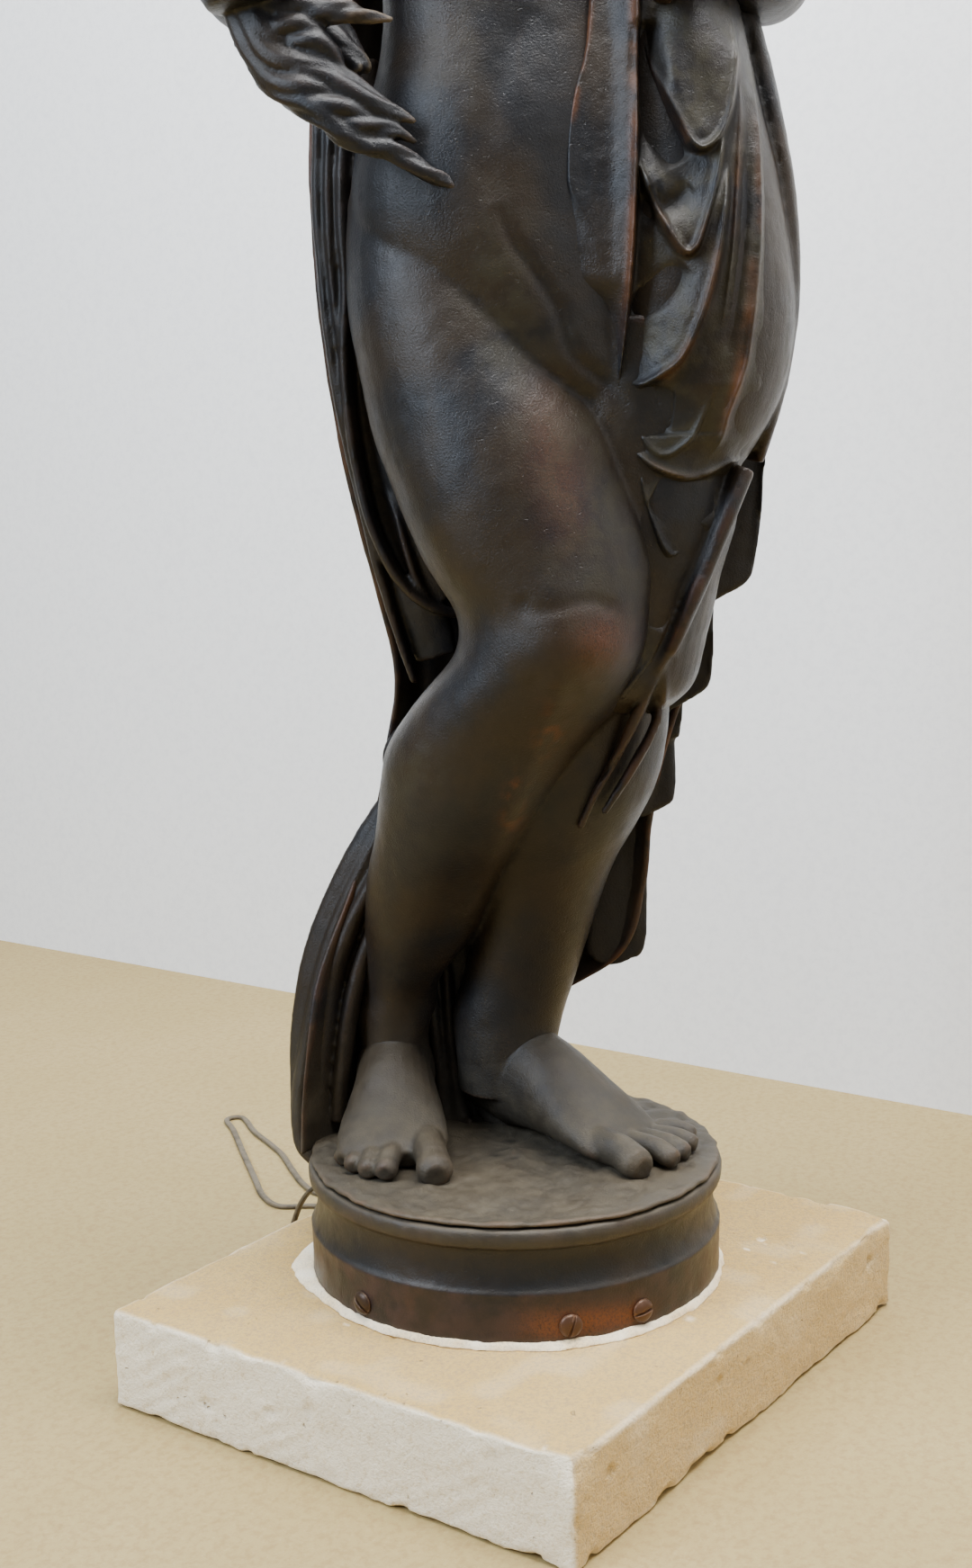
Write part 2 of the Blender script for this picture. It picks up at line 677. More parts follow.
def body_forms():
    muscles = [
        ([-52, 10, 1075], [60, 60, 50], 3), ([40, -96, 424], [26, 34, 34], 9),
        ([34, -104, 384], [16, 24, 16], 4), ([88, -62, 470], [40, 50, 55], 6),
        ([-32, -80, 500], [40, 50, 60], 5), ([-75, 40, 300], [40, 60, 70], 5),
        ([-130, 64, 98], [12, 16, 14], 7), ([-66, 62, 104], [12, 16, 14], 6),
        ([88, 70, 300], [30, 60, 60], 4), ([-22, -66, 1036], [48, 40, 30], 9),
        ([74, -34, 1036], [48, 40, 30], 9), ([22, -84, 884], [7, 20, 8], -7),
        ([-38, -58, 1120], [60, 30, 9], 4), ([70, -30, 1120], [60, 30, 9], 4),
        ([30, -80, 800], [60, 50, 60], 4), ([22, 90, 700], [14, 60, 80], -6),
        ([-40, 90, 720], [60, 50, 70], 6),
    ]
    creases = [
        (GROIN, 5, -2.6), (BELLY_LINE, 12, -2), (SHIN, 9, 2.2),
        ([(-68, 1016), (-40, 996), (-6, 1000), (20, 1012), (44, 1006), (78, 1010), (104, 1034)], 6, -4),
        ([(22, 1090), (24, 1020), (26, 960), (27, 890)], 8, -3),
        ([(-52, 968), (-20, 984), (20, 990), (62, 984), (92, 962)], 9, -2),
        ([(10, 452), (22, 440), (60, 446), (80, 440)], 6, -1.6),
        ([(16, 392), (30, 380), (54, 384)], 6, -1.6),
    ]

    def carve(points, normals):
        return bumps(points, muscles) + cut_lines(points, normals, creases)

    return carve


def body_stain(layers, points, normals):
    """Rust on the knee, reddish patches on the thigh and ochre specks on the shin."""
    knee = bumps(points, [([69, -106, 418], [22, 60, 20], 0.6)])
    thigh = bumps(points, [([30, -100, 560], [16, 60, 44], 0.5), ([45, -100, 520], [16, 60, 34], 0.5)])
    olive = bumps(points, [([0, -90, 668], [26, 70, 60], 1.0), ([46, -100, 560], [34, 70, 70], 0.8)])
    olive += bumps(points, [([70, -100, 470], [40, 80, 70], 0.7), ([-30, -60, 840], [30, 60, 50], 0.5)])
    specks = bumps(
        points,
        [([31, -90, 349], [10, 40, 22], 0.9), ([6, -70, 305], [9, 40, 12], 0.8),
         ([2, -60, 280], [8, 40, 12], 0.8)],
    )
    layers["rusty"] = knee * 0.75 + 0.35 * thigh + specks * ramp(noise(points, 6, 11), 0.0, 0.5) * 0.6
    upper = ramp(points[:, 2], 430, 520)
    layers["warm"] = np.clip(layers["warm"] * (1 - 0.75 * upper) + olive, 0, 1)


def draped_body(material):
    shells = [limb(RIGHT_LEG, 90, 48), limb(LEFT_LEG, 80, 44), limb(TRUNK, 90, 56, 18, 0.94)]
    shells += [
        ball([42, -94, 418], [26, 18, 32]), ball([-18, -60, 1022], [50, 22, 34]),
        ball([72, -32, 1022], [48, 22, 34]),
    ]
    shells += [stroke(RIGHT_ARM, 44, 28, (0.2, -1, 0.3)), stroke(LEFT_ARM, 44, 28, (-0.2, -1, 0.3))]
    return cast("bare_body", shells, 3.1, 5, material, body_forms(), body_stain)


def toes_of(toes):
    shells = []
    for (fx, fy, fz), (tx, ty, tz), size in toes:
        rows = [
            [fx, fy, fz + 2, size, size],
            [fx * 0.5 + tx * 0.5, fy * 0.5 + ty * 0.5, fz * 0.6 + tz * 0.4 + 3, size * 0.88, size * 0.88],
            [fx * 0.15 + tx * 0.85, fy * 0.15 + ty * 0.85, tz, size * 1.0, size * 0.86],
            [tx, ty, tz - 1, size * 0.62, size * 0.55],
        ]
        shells.append(stroke(rows, 16, 14))
    return shells


def foot_forms():
    nails = []
    for toes in (RIGHT_TOES, LEFT_TOES):
        for (fx, fy, fz), (tx, ty, tz), size in toes:
            step = np.array([tx - fx, ty - fy, 0.0])
            step /= np.linalg.norm(step)
            tip = np.array([tx, ty, tz + size * 0.55]) - step * size * 0.25
            nails.append((tip, [size * 0.5, size * 0.5, size * 0.6], 0.9))
            nails.append((tip - step * size * 0.75, [size * 0.8, size * 0.22, size * 0.5], -1.3))
            nails.append((
                np.array([tx, ty, tz + size * 0.7]) - step * size * 1.9,
                [size * 0.7, size * 0.3, size * 0.6], 0.8,
            ))

    def carve(points, normals):
        return bumps(points, nails)

    return carve


def bare_feet(material):
    shells = [stroke(RIGHT_SOLE, 34, 28), stroke(LEFT_SOLE, 34, 28)]
    shells += toes_of(RIGHT_TOES) + toes_of(LEFT_TOES)
    shells += [limb([[-99, 68, 30, 29, 36], [-99, 68, 70, 29, 36], [-99, 67, 100, 25, 32]], 12, 30)]
    shells += [limb([[-6, 66, 30, 40, 40], [-5, 66, 66, 42, 42], [-4, 66, 96, 41, 37]], 12, 30)]

    def stain(layers, points, normals):
        layers["dusty"] = np.maximum(layers["dusty"], 0.5 * (1 - ramp(points[:, 2], 20, 85)))
        layers["hollow"] *= 0.7

    return cast("bare_feet", shells, 1.9, 7, material, foot_forms(), stain)


# Cloth rows

HIP_WRAP = [
    [128, -8, 534, 44, 50], [132, -10, 560, 58, 66], [136, -8, 600, 74, 82], [136, -6, 650, 82, 90],
    [132, -6, 700, 82, 90], [126, -6, 760, 76, 86], [120, -6, 820, 66, 78], [114, -6, 876, 60, 70],
    [116, -12, 930, 40, 52],
]
UNDER_CLOTH = [
    [70, 18, 346, 40, 44], [76, 14, 372, 68, 72], [86, 10, 412, 70, 74], [98, 4, 460, 68, 74],
    [110, 0, 505, 68, 74], [118, -4, 566, 62, 68],
]
HIP_RIDGES = [
    [[178, -48, 540, 8, 10], [164, -52, 508, 8, 12], [145, -52, 462, 8, 13], [126, -50, 418, 7, 12],
     [110, -47, 392, 6, 10], [92, -42, 372, 4, 6]],
    [[172, 4, 900, 10, 18], [190, 2, 830, 12, 24], [205, 0, 755, 12, 28], [212, 0, 680, 11, 28],
     [206, 2, 610, 10, 26], [192, 4, 545, 6, 14]],
    [[118, -40, 400, 3, 5], [104, -46, 368, 3.5, 6], [84, -46, 330, 3.5, 6], [66, -41, 296, 3, 5],
     [54, -33, 268, 3, 3]],
    [[114, -28, 392, 3, 5], [112, -34, 350, 3.5, 6], [92, -39, 312, 3.5, 6], [72, -37, 280, 3, 3]],
]
CASCADE = [
    ([[150, 640], [212, 640], [206, 590], [204, 540], [202, 505], [198, 470], [192, 452], [172, 440],
      [150, 428]], 36, 26),
    ([[128, 560], [172, 560], [168, 490], [166, 430], [164, 374], [150, 358], [128, 346]], 52, 24),
    ([[112, 446], [146, 446], [143, 390], [141, 330], [134, 322], [112, 314]], 62, 22),
    ([[104, 360], [136, 360], [137, 318], [136, 276], [128, 266], [106, 256]], 70, 22),
    ([[66, 300], [116, 300], [114, 220], [112, 148], [98, 134], [78, 130], [62, 140]], 78, 20),
]
FOLD_LINES = [
    ([(116, 399), (90, 359), (63, 326), (49, 296)], 3, 2.6),
    ([(116, 399), (99, 352), (83, 329), (56, 313)], 3.5, -2.6),
    ([(116, 399), (111, 339), (103, 305), (93, 285)], 3, 2.6),
    ([(142, 464), (129, 431), (119, 405)], 4, 2.5),
]

# Front cloth over the hip, as x and z of its edge on the body's side and of its edge behind
CLOTH_EDGE = [
    (70, 920), (66, 880), (61, 833), (54, 809), (49, 785), (47, 758), (48, 727), (54, 690), (61, 655),
    (67, 622), (71, 598), (73, 575), (76, 552), (80, 525), (60, 490), (34, 450), (30, 400), (30, 340),
]
CLOTH_BACK = [
    (88, 352), (98, 376), (118, 400), (132, 431), (152, 473), (171, 515), (184, 540), (193, 560),
    (197, 600), (197, 914),
]
# Folds of the front cloth: line, height of the fold, reach on the left of the line and on its right
CLOTH_FOLDS = [
    ([(78, 572), (83, 600), (86, 622), (90, 660), (93, 700), (95, 742), (97, 800), (98, 870), (98, 915)],
     22, 30, 3.2),
    ([(67, 890), (64, 863), (61, 833), (54, 809), (49, 785), (47, 758), (46, 727), (50, 700)], 6, 14, 2.4),
    ([(99, 850), (106, 820), (114, 802), (123, 784), (132, 766), (141, 760), (151, 766), (158, 778),
      (164, 800), (167, 830), (162, 870)], 22, 26, 4.5),
    ([(93, 764), (101, 742), (110, 720), (120, 701), (129, 690), (137, 694), (143, 710), (149, 730),
      (155, 760), (158, 790)], 20, 20, 4.5),
    ([(86, 606), (98, 600), (113, 607), (126, 617), (136, 636), (145, 661), (152, 688), (157, 720),
      (161, 752)], 18, 22, 5),
    ([(78, 622), (85, 600), (92, 582), (99, 565), (107, 554), (116, 550), (126, 554), (138, 566), (152, 600)],
     11, 16, 5),
    ([(90, 556), (100, 548), (110, 541), (129, 534), (142, 534), (155, 539), (165, 544), (176, 547)],
     14, 18, 3),
    ([(172, 850), (170, 815), (170, 785), (168, 755), (166, 725), (163, 690), (156, 640)], 9, 7, 9),
    ([(146, 545), (157, 560), (162, 579), (169, 598), (175, 617), (179, 648), (182, 679), (184, 703),
      (185, 740), (184, 790), (180, 840)], 12, 14, 8),
    ([(84, 366), (90, 374), (100, 386), (113, 399), (119, 415), (126, 431), (136, 457), (146, 473),
      (155, 496), (165, 515), (176, 540)], 9, 9, 5),
    ([(98, 544), (102, 522), (108, 503), (115, 486), (123, 478), (133, 484)], 9, 5, 6),
]
CLOTH_SWELLS = [((136, 840), (26, 44), 12), ((72, 790), (18, 90), 4)]
CLOTH_HOLLOWS = [
    ([(101, 850), (106, 810), (112, 780), (126, 752)], 8, 20), ([(102, 734), (114, 722), (134, 736)], 8, 7),
    ([(94, 662), (106, 660), (130, 682)], 8, 9), ([(96, 592), (108, 584), (122, 582)], 10, 16),
    ([(108, 524), (130, 514), (152, 522)], 10, 11), ([(142, 500), (128, 462), (110, 424)], 8, 9),
    ([(90, 530), (97, 505), (104, 470)], 7, 12), ([(176, 800), (174, 740), (170, 690), (160, 620)], 4, 4),
]
# Deep places of the front cloth that stay black: middle and half widths over x and z
CLOTH_DEPTHS = [
    ((108, 812), (9, 38)), ((116, 776), (12, 26)), ((126, 752), (14, 11)), ((101, 722), (5, 16)),
    ((118, 582), (21, 13)), ((104, 592), (9, 9)), ((128, 500), (26, 24)), ((112, 470), (12, 30)),
]
# Rubbed stretches of the folds: line, width and how bare they are
CLOTH_WEAR = [
    ([(96, 915), (95, 862), (93, 742), (90, 680), (85, 622)], 3.4, 0.9),
    ([(67, 890), (63, 850), (56, 810), (51, 780)], 3.0, 1.0),
    ([(108, 604), (120, 608), (136, 634), (148, 668), (153, 700)], 4.0, 0.6),
    ([(158, 562), (166, 596), (174, 636), (179, 690)], 4.2, 1.0),
    ([(170, 830), (168, 755), (164, 700)], 3.0, 0.7),
    ([(183, 800), (183, 703)], 2.6, 0.8),
    ([(102, 836), (110, 808), (123, 782), (132, 764)], 2.2, 0.7),
    ([(101, 742), (120, 700), (129, 690), (137, 694), (146, 720)], 2.0, 0.45),
    ([(168, 522), (146, 478), (126, 436), (112, 404)], 2.6, 0.4),
    ([(100, 549), (129, 535), (155, 540)], 2.0, 0.3),
]


def limb_front(rows, x, z, yaw):
    """How near the front of an upright limb comes at x and z, far behind where it isn't there."""
    rows = np.asarray(rows, float)
    rows = rows[np.argsort(rows[:, 2])]
    middle_x, middle_y, wide, deep = (np.interp(z, rows[:, 2], rows[:, k]) for k in (0, 1, 3, 4))
    c, s = math.cos(math.radians(yaw)), math.sin(math.radians(yaw))
    reach = np.hypot(wide * c, deep * s)
    share = (x - middle_x) / reach
    inside = np.abs(share) < 1
    turn = np.arctan2(-deep * s, wide * c) - np.arccos(np.clip(share, -1, 1))
    return np.where(inside, middle_y + wide * s * np.cos(turn) + deep * c * np.sin(turn), 60)


def blurred(field, steps, passes=3):
    """The field averaged over so many steps each way, several times."""
    for _ in range(passes):
        for axis in (0, 1):
            padded = np.concatenate([np.repeat(np.take(field, [0], axis), steps, axis), field,
                                     np.repeat(np.take(field, [-1], axis), steps, axis)], axis)
            sums = np.cumsum(padded, axis)
            sums = np.concatenate([np.zeros_like(np.take(sums, [0], axis)), sums], axis)
            width = 2 * steps + 1
            count = field.shape[axis]
            field = (
                (np.take(sums, range(width, width + count), axis) - np.take(sums, range(count), axis)) / width
            )
    return field


def fold_relief(x, z):
    """Height of the lapped folds over x and z, sharp at their edges and soft between them."""
    places = np.column_stack([x.ravel(), z.ravel()])
    heights = [np.zeros(x.shape)]
    for line, rise, left, right in CLOTH_FOLDS:
        away, along = (values.reshape(x.shape) for values in near_line(places, line))
        top = rise * end_taper(along, 0.12)
        beyond = (top + 6) * np.exp(np.minimum(away, 0) / right) - 6
        height = np.where(away > 0, top * np.exp(-away / left), beyond)
        edge = np.exp(-((away / 5.5) ** 2))
        heights.append(edge * height + (1 - edge) * blurred(height, 5))
    relief = 1.8 * np.log(np.exp(np.stack(heights) / 1.8).sum(0)) - 1.8 * math.log(2)
    for (at_x, at_z), (wide, tall), rise in CLOTH_SWELLS:
        relief += rise * np.exp(-(((x - at_x) / wide) ** 2) - ((z - at_z) / tall) ** 2)
    for line, width, depth in CLOTH_HOLLOWS:
        away, along = (values.reshape(x.shape) for values in near_line(places, line))
        relief -= depth * np.exp(-((away / width) ** 2)) * end_taper(along, 0.3)
    return relief


def hip_folds(material):
    """The lapped front cloth over the left hip: depths over x and z, closed behind."""
    rows, columns, left = 400, 190, 30.0
    hem, top = 352, 914
    z = np.linspace(hem, top, rows)[:, None] + np.zeros((1, columns))
    back = np.array(CLOTH_BACK, float)
    right = np.interp(z, back[:, 1], back[:, 0])
    x = left + (right - left) * np.linspace(0, 1, columns)[None]
    limbs = [
        limb_front(HIP_WRAP, x, z, 18) + 200 * (z < 536),
        limb_front(TRUNK, x, z, 18) + 90 * (1 - ramp(z, 590, 680)) + 200 * (z < 590),
        limb_front(UNDER_CLOTH, x, z, 0) + 200 * (z > 566),
    ]
    base = -7 * np.log(np.exp(-np.stack(limbs) / 7).sum(0))
    relief = fold_relief(x, z)
    places = np.column_stack([x.ravel(), z.ravel()])
    edge = near_line(places, CLOTH_EDGE)[0].reshape(x.shape)
    soft = ramp(z, 700, 745)
    inside = ramp(edge, -3 - 15 * (1 - soft), 2 + 16 * (1 - soft))
    relief = (
        relief * inside - (4 + 6 * soft) * (1 - inside) - 14 * ramp(x - right, -12, 0)
        - 10 * (1 - ramp(z, hem, hem + 20))
    )
    front = np.stack([x, base - relief + 1.5, z], -1)
    behind = front[:, ::-1][:, [0, -1]] + [0, 30, 0]
    points, faces = skin(np.concatenate([front, behind], axis=1))
    mesh = new_mesh("hip_folds", points, faces)
    edges = read_edges(mesh)
    points = softened(points, edges, 2)
    points = points + facing(points, mesh) * (0.3 * noise(points, 14) + 0.2 * noise(points, 5, 2))[:, None]
    normals = facing(points, mesh)
    sunk = np.zeros((rows, columns + 2))
    sunk[:, :columns] = ramp(blurred(relief, 6) - relief, 0.6, 4) + ramp(-relief, 0.5, 6)

    def stain(layers, points, normals):
        places = points[:, [0, 2]]
        worn = np.zeros(len(points))
        for line, width, bare in CLOTH_WEAR:
            away, along = near_line(places, line)
            worn = np.maximum(worn, bare * np.exp(-((away / width) ** 2)) * end_taper(along))
        layers["rubbed"] = worn * (0.35 + 0.65 * ramp(noise(points, 26, 12), -0.5, 0.4))
        deep = sunk.ravel()
        for (at_x, at_z), (wide, tall) in CLOTH_DEPTHS:
            away = ((points[:, 0] - at_x) / wide) ** 2 + ((points[:, 2] - at_z) / tall) ** 2
            deep = np.maximum(deep, 1 - ramp(away, 0.5, 1.5))
        layers["hollow"] = np.clip(np.maximum(layers["hollow"] * 0.5, deep), 0, 1)
        layers["dusty"] *= 0
        layers["warm"] = np.maximum(layers["warm"] * 0.4, ramp(points[:, 0], 88, 100))

    return casting("hip_folds", mesh, points, normals, 1.6, material, stain)


def hip_cloth(material):
    shells = [limb(HIP_WRAP, 60, 56, 18), limb(UNDER_CLOTH, 40, 44)]
    shells += [stroke(rows, 48, 16, (0.15, -1, 0)) for rows in HIP_RIDGES]
    shells += [plate(between(outline, np.linspace(0, 1, 60)), y, deep, 3) for outline, y, deep in CASCADE]

    def carve(points, normals):
        return cut_lines(points, normals, FOLD_LINES)

    def stain(layers, points, normals):
        behind = ramp(points[:, 1], 6, 22) * (1 - ramp(points[:, 2], 560, 640))
        layers["hollow"] = np.maximum(layers["hollow"], 0.85 * behind)
        layers["rubbed"] *= 0.45 - 0.4 * behind

    return cast("hip_drapery", shells, 2.4, 4, material, carve, stain)


SIDE_PLEATS = [
    [[-104, 18, 800, 12, 8], [-105, 17, 748, 14, 9], [-102, 18, 690, 16, 10], [-97, 20, 640, 17, 10],
     [-90, 23, 590, 17, 10], [-80, 26, 540, 17, 10], [-68, 29, 490, 17, 9], [-54, 32, 440, 15, 8]],
    [[-108, 26, 850, 20, 10], [-114, 26, 800, 24, 12], [-116, 26, 748, 25, 13], [-114, 28, 690, 25, 13],
     [-109, 30, 640, 24, 12], [-102, 33, 590, 23, 11], [-92, 36, 540, 23, 10], [-80, 38, 490, 24, 10],
     [-68, 40, 440, 22, 9], [-56, 44, 395, 18, 7]],
    [[-134, 24, 830, 5, 9], [-136, 24, 781, 6, 11], [-137, 25, 740, 6, 12], [-135, 27, 690, 6, 12],
     [-132, 28, 650, 6, 12], [-126, 30, 600, 6, 11], [-117, 32, 550, 6, 10], [-108, 34, 505, 5, 9],
     [-98, 36, 460, 5, 8], [-86, 38, 415, 4, 7], [-74, 40, 375, 3, 4]],
    [[-124, 20, 830, 4, 8], [-127, 18, 781, 5, 11], [-128, 18, 740, 5, 12], [-127, 20, 690, 5, 12],
     [-123, 22, 640, 4, 10], [-118, 24, 600, 3, 6]],
    [[-114, 16, 820, 5, 8], [-117, 14, 770, 6, 12], [-118, 14, 730, 6, 12], [-117, 15, 680, 5, 11],
     [-120, 18, 630, 5, 10], [-118, 20, 585, 5, 10], [-113, 22, 545, 5, 10], [-105, 22, 507, 5, 10],
     [-97, 22, 485, 5, 9], [-86, 22, 463, 5, 9], [-72, 22, 446, 5, 8], [-55, 24, 435, 5, 7],
     [-38, 28, 430, 4, 5]],
    [[-104, 14, 790, 4, 6], [-106, 12, 740, 5, 9], [-105, 12, 690, 5, 9], [-103, 14, 640, 4, 8],
     [-99, 16, 600, 3, 4]],
    [[-92, 30, 530, 3, 6], [-84, 26, 510, 4, 8], [-76, 24, 480, 4, 8], [-68, 24, 455, 4, 7],
     [-57, 26, 440, 3, 4]],
]
FOOT_FOLDS = [
    [[-84, 58, 290, 6, 8], [-108, 58, 244, 8, 11], [-128, 58, 205, 9, 13], [-146, 57, 163, 9, 14],
     [-160, 56, 117, 9, 14], [-170, 54, 67, 9, 14], [-177, 52, 24, 9, 13], [-176, 48, -10, 8, 11],
     [-166, 42, -26, 5, 7]],
    [[-84, 52, 260, 6, 8], [-108, 50, 218, 7, 11], [-128, 48, 180, 8, 13], [-144, 46, 140, 8, 14],
     [-153, 44, 90, 8, 14], [-160, 42, 40, 8, 13], [-158, 38, 6, 6, 9]],
    [[-90, 50, 220, 6, 8], [-108, 48, 180, 7, 11], [-124, 46, 140, 7, 12], [-134, 44, 100, 7, 12],
     [-142, 42, 50, 7, 11], [-146, 38, 10, 6, 8]],
    [[-72, 64, 345, 4, 5], [-88, 64, 330, 6, 7], [-97, 62, 314, 6, 7], [-96, 60, 298, 4, 5],
     [-86, 58, 288, 3, 4]],
    [[-70, 84, 150, 6, 6], [-66, 80, 90, 7, 9], [-60, 76, 40, 7, 9], [-56, 72, 0, 9, 8],
     [-50, 64, -4, 10, 4]],
    [[-56, 84, 150, 5, 6], [-52, 78, 80, 6, 9], [-48, 74, 30, 7, 9], [-44, 66, 0, 9, 7], [-36, 54, -3, 9, 3]],
    [[-40, 86, 150, 5, 6], [-36, 80, 80, 6, 9], [-28, 74, 30, 7, 9], [-18, 64, 2, 9, 7], [-4, 52, -3, 9, 3]],
    [[-24, 88, 120, 5, 6], [-20, 84, 60, 6, 8], [-12, 78, 20, 7, 8], [2, 68, 0, 8, 5]],
]


def cloak_folds(material):
    """Pleats of the cloak that show beside the thigh, and its hem round the feet."""
    shells = [stroke(rows, 56, 12, (-0.2, -1, 0)) for rows in SIDE_PLEATS + FOOT_FOLDS]
    shells.append(stroke(
        [[-44, 92, 170, 34, 10], [-44, 88, 90, 34, 12], [-36, 84, 30, 34, 12], [-30, 78, -3, 34, 8]],
        20, 20, (0, -1, 0),
    ))
    shells.append(stroke(
        [[-84, 62, 290, 12, 10], [-118, 62, 225, 20, 12], [-146, 62, 150, 26, 13], [-158, 60, 80, 28, 13],
         [-162, 58, 10, 26, 12]],
        24, 20, (0, -1, 0),
    ))

    def stain(layers, points, normals):
        layers["rubbed"] *= 0.35
        layers["hollow"] = np.maximum(layers["hollow"], 0.45)

    return cast("cloak_folds", shells, 2.0, 3, material, None, stain)


CLOAK = [
    [-4.6, -174, 12, 8, 92, 66, 26], [40, -172, 16, -6, 92, 70, 22], [92, -166, 26, 22, 92, 66, 21],
    [140, -157, 36, 92, 84, 62, 20], [198, -134, 52, 112, 82, 56, 20], [256, -113, 66, 118, 80, 52, 20],
    [318, -101, 74, 130, 74, 46, 21], [380, -92, 74, 150, 70, 44, 22], [450, -106, 68, 164, 62, 50, 24],
    [530, -124, 60, 172, 54, 62, 26], [620, -138, 52, 178, 46, 76, 27], [720, -146, 50, 176, 44, 82, 28],
    [820, -143, 52, 166, 44, 74, 28], [900, -110, 66, 158, 50, 54, 28], [985, -50, 88, 160, 56, 38, 28],
    [1060, 20, 84, 158, 52, 26, 27], [1104, 62, 62, 148, 46, 10, 24],
]


def back_folds(t, z):
    """Depth of the cloak's long folds at shares across it and at heights."""
    depth = np.zeros(np.broadcast(t, z).shape)
    folds = [
        (0.07, 0.028, 9), (0.19, 0.034, 11), (0.31, 0.03, 8), (0.43, 0.036, 12), (0.55, 0.03, 9),
        (0.66, 0.032, 11), (0.78, 0.028, 9), (0.9, 0.03, 10),
    ]
    for k, (centre, width, rise) in enumerate(folds):
        drift = centre + 0.02 * np.sin(z / 210 + 1.7 * k) + 0.00004 * (z - 500) * (0.5 - centre)
        depth = (
            depth
            + rise * (0.55 + 0.45 * np.sin(z / 260 + 2.3 * k)) * np.exp(-(((t - drift) / width) ** 2))
        )
    return depth - 4


def back_cloak(material):
    rows = between(CLOAK, np.linspace(0, 1, 230))
    z, left_x, left_y, right_x, right_y, bulge, thick = rows.T[:, :, None]
    width = right_x - left_x

    def side(count, reach, offset, relief):
        t = np.linspace(0, 1, count)[None]
        y = left_y + (right_y - left_y) * t + reach * np.sin(math.pi * t) + offset + relief * back_folds(t, z)
        return np.stack([left_x + width * t, y, z + 0 * t], -1)

    inner = side(90, bulge * (1 - 0.3 * ramp(z, 380, 470)), -thick / 2, 0.35)
    outer = side(170, bulge, thick / 2, np.minimum(1, width / 200))
    points, faces = skin(np.concatenate([inner, outer[:, ::-1]], axis=1))
    mesh = new_mesh("back_cloak", points, faces)
    edges = read_edges(mesh)
    points = softened(points, edges, 2)
    points = points + facing(points, mesh) * (0.6 * noise(points, 26, 4) + 0.3 * noise(points, 8, 6))[:, None]
    normals = facing(points, mesh)
    return casting("back_cloak", mesh, points, normals, 3.0, material)


# Head, wings, hands and torch

HEAD_TURN = math.radians(-16)
HEAD_TILT = math.radians(8)
HEAD_PLACE = (16, -12, 1160)
HEAD_SCALE = 1.07
SKULL = [
    [0, -50, 1, 12, 9], [0, -47, 7, 21, 20], [0, -34, 22, 34, 40], [0, -26, 42, 43, 54],
    [0, -16, 70, 52, 67], [0, -10, 96, 58, 74], [0, -4, 125, 61, 77], [0, 2, 152, 60, 78],
    [0, 5, 178, 52, 68], [0, 6, 194, 34, 46], [0, 6, 201, 12, 16],
]


def locks():
    """Short curls that cover the crown, the temples and the nape."""
    shells = []
    count = 120
    for k in range(count):
        share = (k + 0.5) / count
        rise = math.asin(1 - 1.35 * share)
        turn = 2.39996 * k
        front = math.cos(turn + math.pi / 2)
        if rise < 0.42 and front > 0.35:
            continue
        centre = np.array([0.0, 10.0, 122.0])
        size = np.array([70.0, 82.0, 84.0])
        out = np.array([math.cos(rise) * math.cos(turn), math.cos(rise) * math.sin(turn), math.sin(rise)])
        down = np.array([0.35 * math.sin(3 * turn), 0.35 * math.cos(5 * turn), -1.0])
        down = down - out * (down @ out)
        down /= np.linalg.norm(down) + 1e-6
        aside = np.cross(out, down) * (1 if k % 2 else -1)
        root = centre + out * size
        rows = []
        for step in range(6):
            angle = step * 0.95
            reach = 15 * (1 - step * 0.11)
            point = (
                root + down * (math.sin(angle) * reach) + aside * ((1 - math.cos(angle)) * reach)
                + out * (3 - step * 0.6)
            )
            rows.append([*point, 6.2 - step * 0.75, 5.4 - step * 0.7])
        shells.append(stroke(rows, 14, 8, out))
    return shells


def face_forms():
    return [
        ([-21, -76, 110], [13, 14, 8], -7), ([21, -76, 110], [13, 14, 8], -7),
        ([-21, -72, 109], [9, 9, 6.5], 7), ([21, -72, 109], [9, 9, 6.5], 7),
        ([-21, -78, 124], [18, 14, 5], 3), ([21, -78, 124], [18, 14, 5], 3),
        ([0, -84, 68], [5, 8, 6], -2), ([0, -84, 52], [15, 10, 1.8], -2.4),
        ([0, -84, 57.5], [13, 10, 4], 2.2), ([0, -82, 45], [11, 10, 4.5], 2.6),
        ([0, -78, 36], [14, 9, 4], -2.4), ([0, -66, 18], [15, 14, 12], 3),
        ([-34, -58, 84], [16, 18, 16], 2.4), ([34, -58, 84], [16, 18, 16], 2.4),
    ]


def eyelids():
    shells = []
    for side in (-1, 1):
        rows = [
            [side * (8 + 4.6 * k), -76 + 1.5 * k * k * 0.35, 111 + 3.4 * math.sin(math.pi * k / 6), 1.5, 1.3]
            for k in range(7)
        ]
        lower = [
            [side * (9 + 4.3 * k), -75 + 1.5 * k * k * 0.35, 107 - 2.2 * math.sin(math.pi * k / 6), 1.2, 1.1]
            for k in range(7)
        ]
        shells += [stroke(rows, 14, 8, (0, -1, 0)), stroke(lower, 14, 8, (0, -1, 0))]
    return shells


